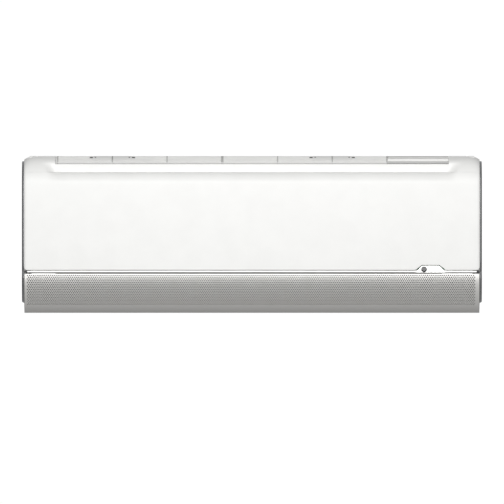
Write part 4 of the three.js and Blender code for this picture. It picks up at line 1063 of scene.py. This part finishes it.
# ---- side trims: bright plated edging, an open upper loop over a solid lower lobe ----
TRIM_PROUD = 4.3
TRIM_INNER = BODY_HALF + 0.3
TRIM_BACK = 14.0
TRIM_WIDTH = 5.0
TRIM_FOOT = -HALF_HEIGHT + 20.5
TRIM_MARGIN = 6.0
TRIM_DOOR_MARGIN = 5.0
TRIM_ROUNDING = 2.6
TRIM_START_ANGLE = 28
TRIM_END_ANGLE = 100
# The lower lobe: its top, its overlap under the edging, and its (inset, proud) steps.
LOBE_TOP = PANEL_FOOT_Z + 9
LOBE_OVERLAP = 0.6
LOBE_STEPS = [(0, 0.0), (0, 1.4), (0.5, 1.8), (1.2, 2.0)]


def crown_shift(inset, z):
    """How far an inset lowers the trim's outline, most at the crown."""
    return inset * 0.5 * clamp(z / (HALF_HEIGHT - 10))


def trim_outline(inset):
    """The trim's outline in (d, z) at an inset from its edge, from its upper rear corner round."""
    shoulder = CREASE_Z - 5.5
    heights = spread(HALF_HEIGHT - 10.5, shoulder, 8) + spread(shoulder, CROWN_Z, 5)[1:]
    heights += spread(CROWN_Z, PANEL_FOOT_Z + 8, 16)[1:]
    upper = [(surface_depth(BODY_HALF, z) - TRIM_MARGIN - inset, z - crown_shift(inset, z))
             for z in heights]
    lower = arc(*DOOR_CENTRE, DOOR_RADIUS - TRIM_DOOR_MARGIN - inset, -3, -DOOR_TURN, 14)
    waist = [(PANEL_FOOT_D - TRIM_MARGIN - inset - 1.2, PANEL_FOOT_Z + 1.5)]
    waist.append((PANEL_FOOT_D - 9 - inset, PANEL_FOOT_Z - 4))
    rear = [(SEAM_D - inset, TRIM_FOOT + inset), (TRIM_BACK + 4 + inset, TRIM_FOOT + inset)]
    return [(TRIM_BACK + inset, FASCIA_TOP - inset)] + upper + waist + lower + rear


def trim_profile():
    """(inset, proud) of the trim's rounded face, from its outer edge inwards."""
    proud = TRIM_PROUD - 0.3
    first = math.radians(TRIM_START_ANGLE)
    low = math.sin(first)
    turns = [math.radians(a) for a in spread(TRIM_START_ANGLE, TRIM_END_ANGLE, 12)]
    face = [(TRIM_ROUNDING * (math.cos(first) - math.cos(turn)),
             proud * (math.sin(turn) - low) / (1 - low)) for turn in turns]
    return face + [(TRIM_WIDTH - 0.8, proud * 0.9), (TRIM_WIDTH, proud * 0.6), (TRIM_WIDTH, 0.0)]


def lobe_shift(inset, z):
    """The rise of the lobe's foot and the fall of its top for an inset."""
    if z < TRIM_FOOT + 8:
        return inset
    return -inset if z > LOBE_TOP - 2 else 0


def make_side_trim(side, node):
    """The plated edging as a closed loop, and the solid lobe inside its lower part."""
    trim = Shape()
    rings = []
    for inset, proud in trim_profile():
        x = side * (TRIM_INNER + proud)
        rings.append([at(x, d, z) for d, z in trim_outline(inset)])
    trim.loft(rings, ring=True)
    hidden_edge = TRIM_WIDTH - LOBE_OVERLAP
    lobe = [(d, z) for d, z in trim_outline(hidden_edge) if z < LOBE_TOP]
    lobe.append((TRIM_BACK + hidden_edge, LOBE_TOP))
    rings = []
    for inset, proud in LOBE_STEPS:
        x = side * (TRIM_INNER + proud)
        rings.append([at(x, d, z + lobe_shift(inset, z)) for d, z in lobe])
    trim.loft(rings)
    trim.make(node + "_edging", plated_trim, "casing", "bright_trim", [node], crease=50.0)


make_side_trim(-1, "side_trim_left")
make_side_trim(1, "side_trim_right")


# ---- light, in metres: a white room, strongest from the front, and a plain white backdrop ----
CEILING_LIGHT = 0.4
WALL_LIGHT = 0.64
FLOOR_LIGHT = 0.36
SIDE_SHARE = 0.16
SOFTBOX_SIZE = (3.0, 1.9)
SOFTBOX_PLACE = Vector((0, -3.0, 0.64))
SOFTBOX_AIM = Vector((0, -0.19, 0))
SOFTBOX_POWER = 70.0
BACKDROP_HALF = 0.8
BACKDROP_DEPTH = 3.0
BACKDROP_GLOW = 1.02


def front_softbox():
    """A wide soft light in front of the body, a little above it."""
    data = bpy.data.lights.new("front_softbox", "AREA")
    data.shape = "RECTANGLE"
    data.size, data.size_y = SOFTBOX_SIZE
    data.energy = SOFTBOX_POWER
    light = bpy.data.objects.new("front_softbox", data)
    bpy.context.collection.objects.link(light)
    light.location = SOFTBOX_PLACE
    light.rotation_euler = (SOFTBOX_AIM - SOFTBOX_PLACE).to_track_quat("-Z", "Y").to_euler()


def white_room():
    """World light by direction: a ramp from floor to ceiling, dimmed towards both sides."""
    world = bpy.data.worlds.new("white_room")
    bpy.context.scene.world = world
    world.use_nodes = True
    tree = world.node_tree
    tree.nodes.clear()
    view = add_node(tree, "ShaderNodeTexCoord").outputs["Generated"]
    ways = add_node(tree, "ShaderNodeSeparateXYZ", links={"Vector": view})
    aside = add_node(tree, "ShaderNodeMath", links={0: ways.outputs["X"]}, operation="ABSOLUTE")
    dimmed = add_node(tree, "ShaderNodeMapRange",
                      {"From Min": 0.25, "From Max": 0.8, "To Min": 1.0, "To Max": SIDE_SHARE},
                      {"Value": aside.outputs[0]})
    rise = add_node(tree, "ShaderNodeMapRange", {"From Min": -1.0, "From Max": 1.0},
                    {"Value": ways.outputs["Z"]})
    height = add_node(tree, "ShaderNodeValToRGB", links={0: rise.outputs["Result"]})
    ramp = height.color_ramp
    ramp.elements[0].color = (FLOOR_LIGHT,) * 3 + (1.0,)
    ramp.elements[1].color = (CEILING_LIGHT,) * 3 + (1.0,)
    for place, strength in ((0.42, FLOOR_LIGHT * 1.1), (0.5, WALL_LIGHT), (0.62, WALL_LIGHT)):
        ramp.elements.new(place).color = (strength,) * 3 + (1.0,)
    sky = add_node(tree, "ShaderNodeBackground", links={
        "Color": height.outputs["Color"], "Strength": dimmed.outputs["Result"]})
    add_node(tree, "ShaderNodeOutputWorld", links={"Surface": sky.outputs["Background"]})


def backdrop():
    """An evenly lit white sheet, so far behind the body that it hardly lights it."""
    half = BACKDROP_HALF
    mesh = bpy.data.meshes.new("backdrop")
    outline = [(-half, -half), (half, -half), (half, half), (-half, half)]
    corners = [(x, BACKDROP_DEPTH, z) for x, z in outline]
    mesh.from_pydata(corners, [], [(0, 1, 2, 3)])
    sheet = bpy.data.objects.new("backdrop", mesh)
    bpy.context.collection.objects.link(sheet)
    material = bpy.data.materials.new("lit_white_paper")
    material.use_nodes = True
    tree = material.node_tree
    tree.nodes.clear()
    # Lit white paper: an even glow, since its grain is too fine to see from here.
    glow = add_node(tree, "ShaderNodeEmission", {"Color": linear("#FFFFFF"), "Strength": BACKDROP_GLOW})
    add_node(tree, "ShaderNodeOutputMaterial", links={"Surface": glow.outputs["Emission"]})
    mesh.materials.append(material)


white_room()
backdrop()
front_softbox()
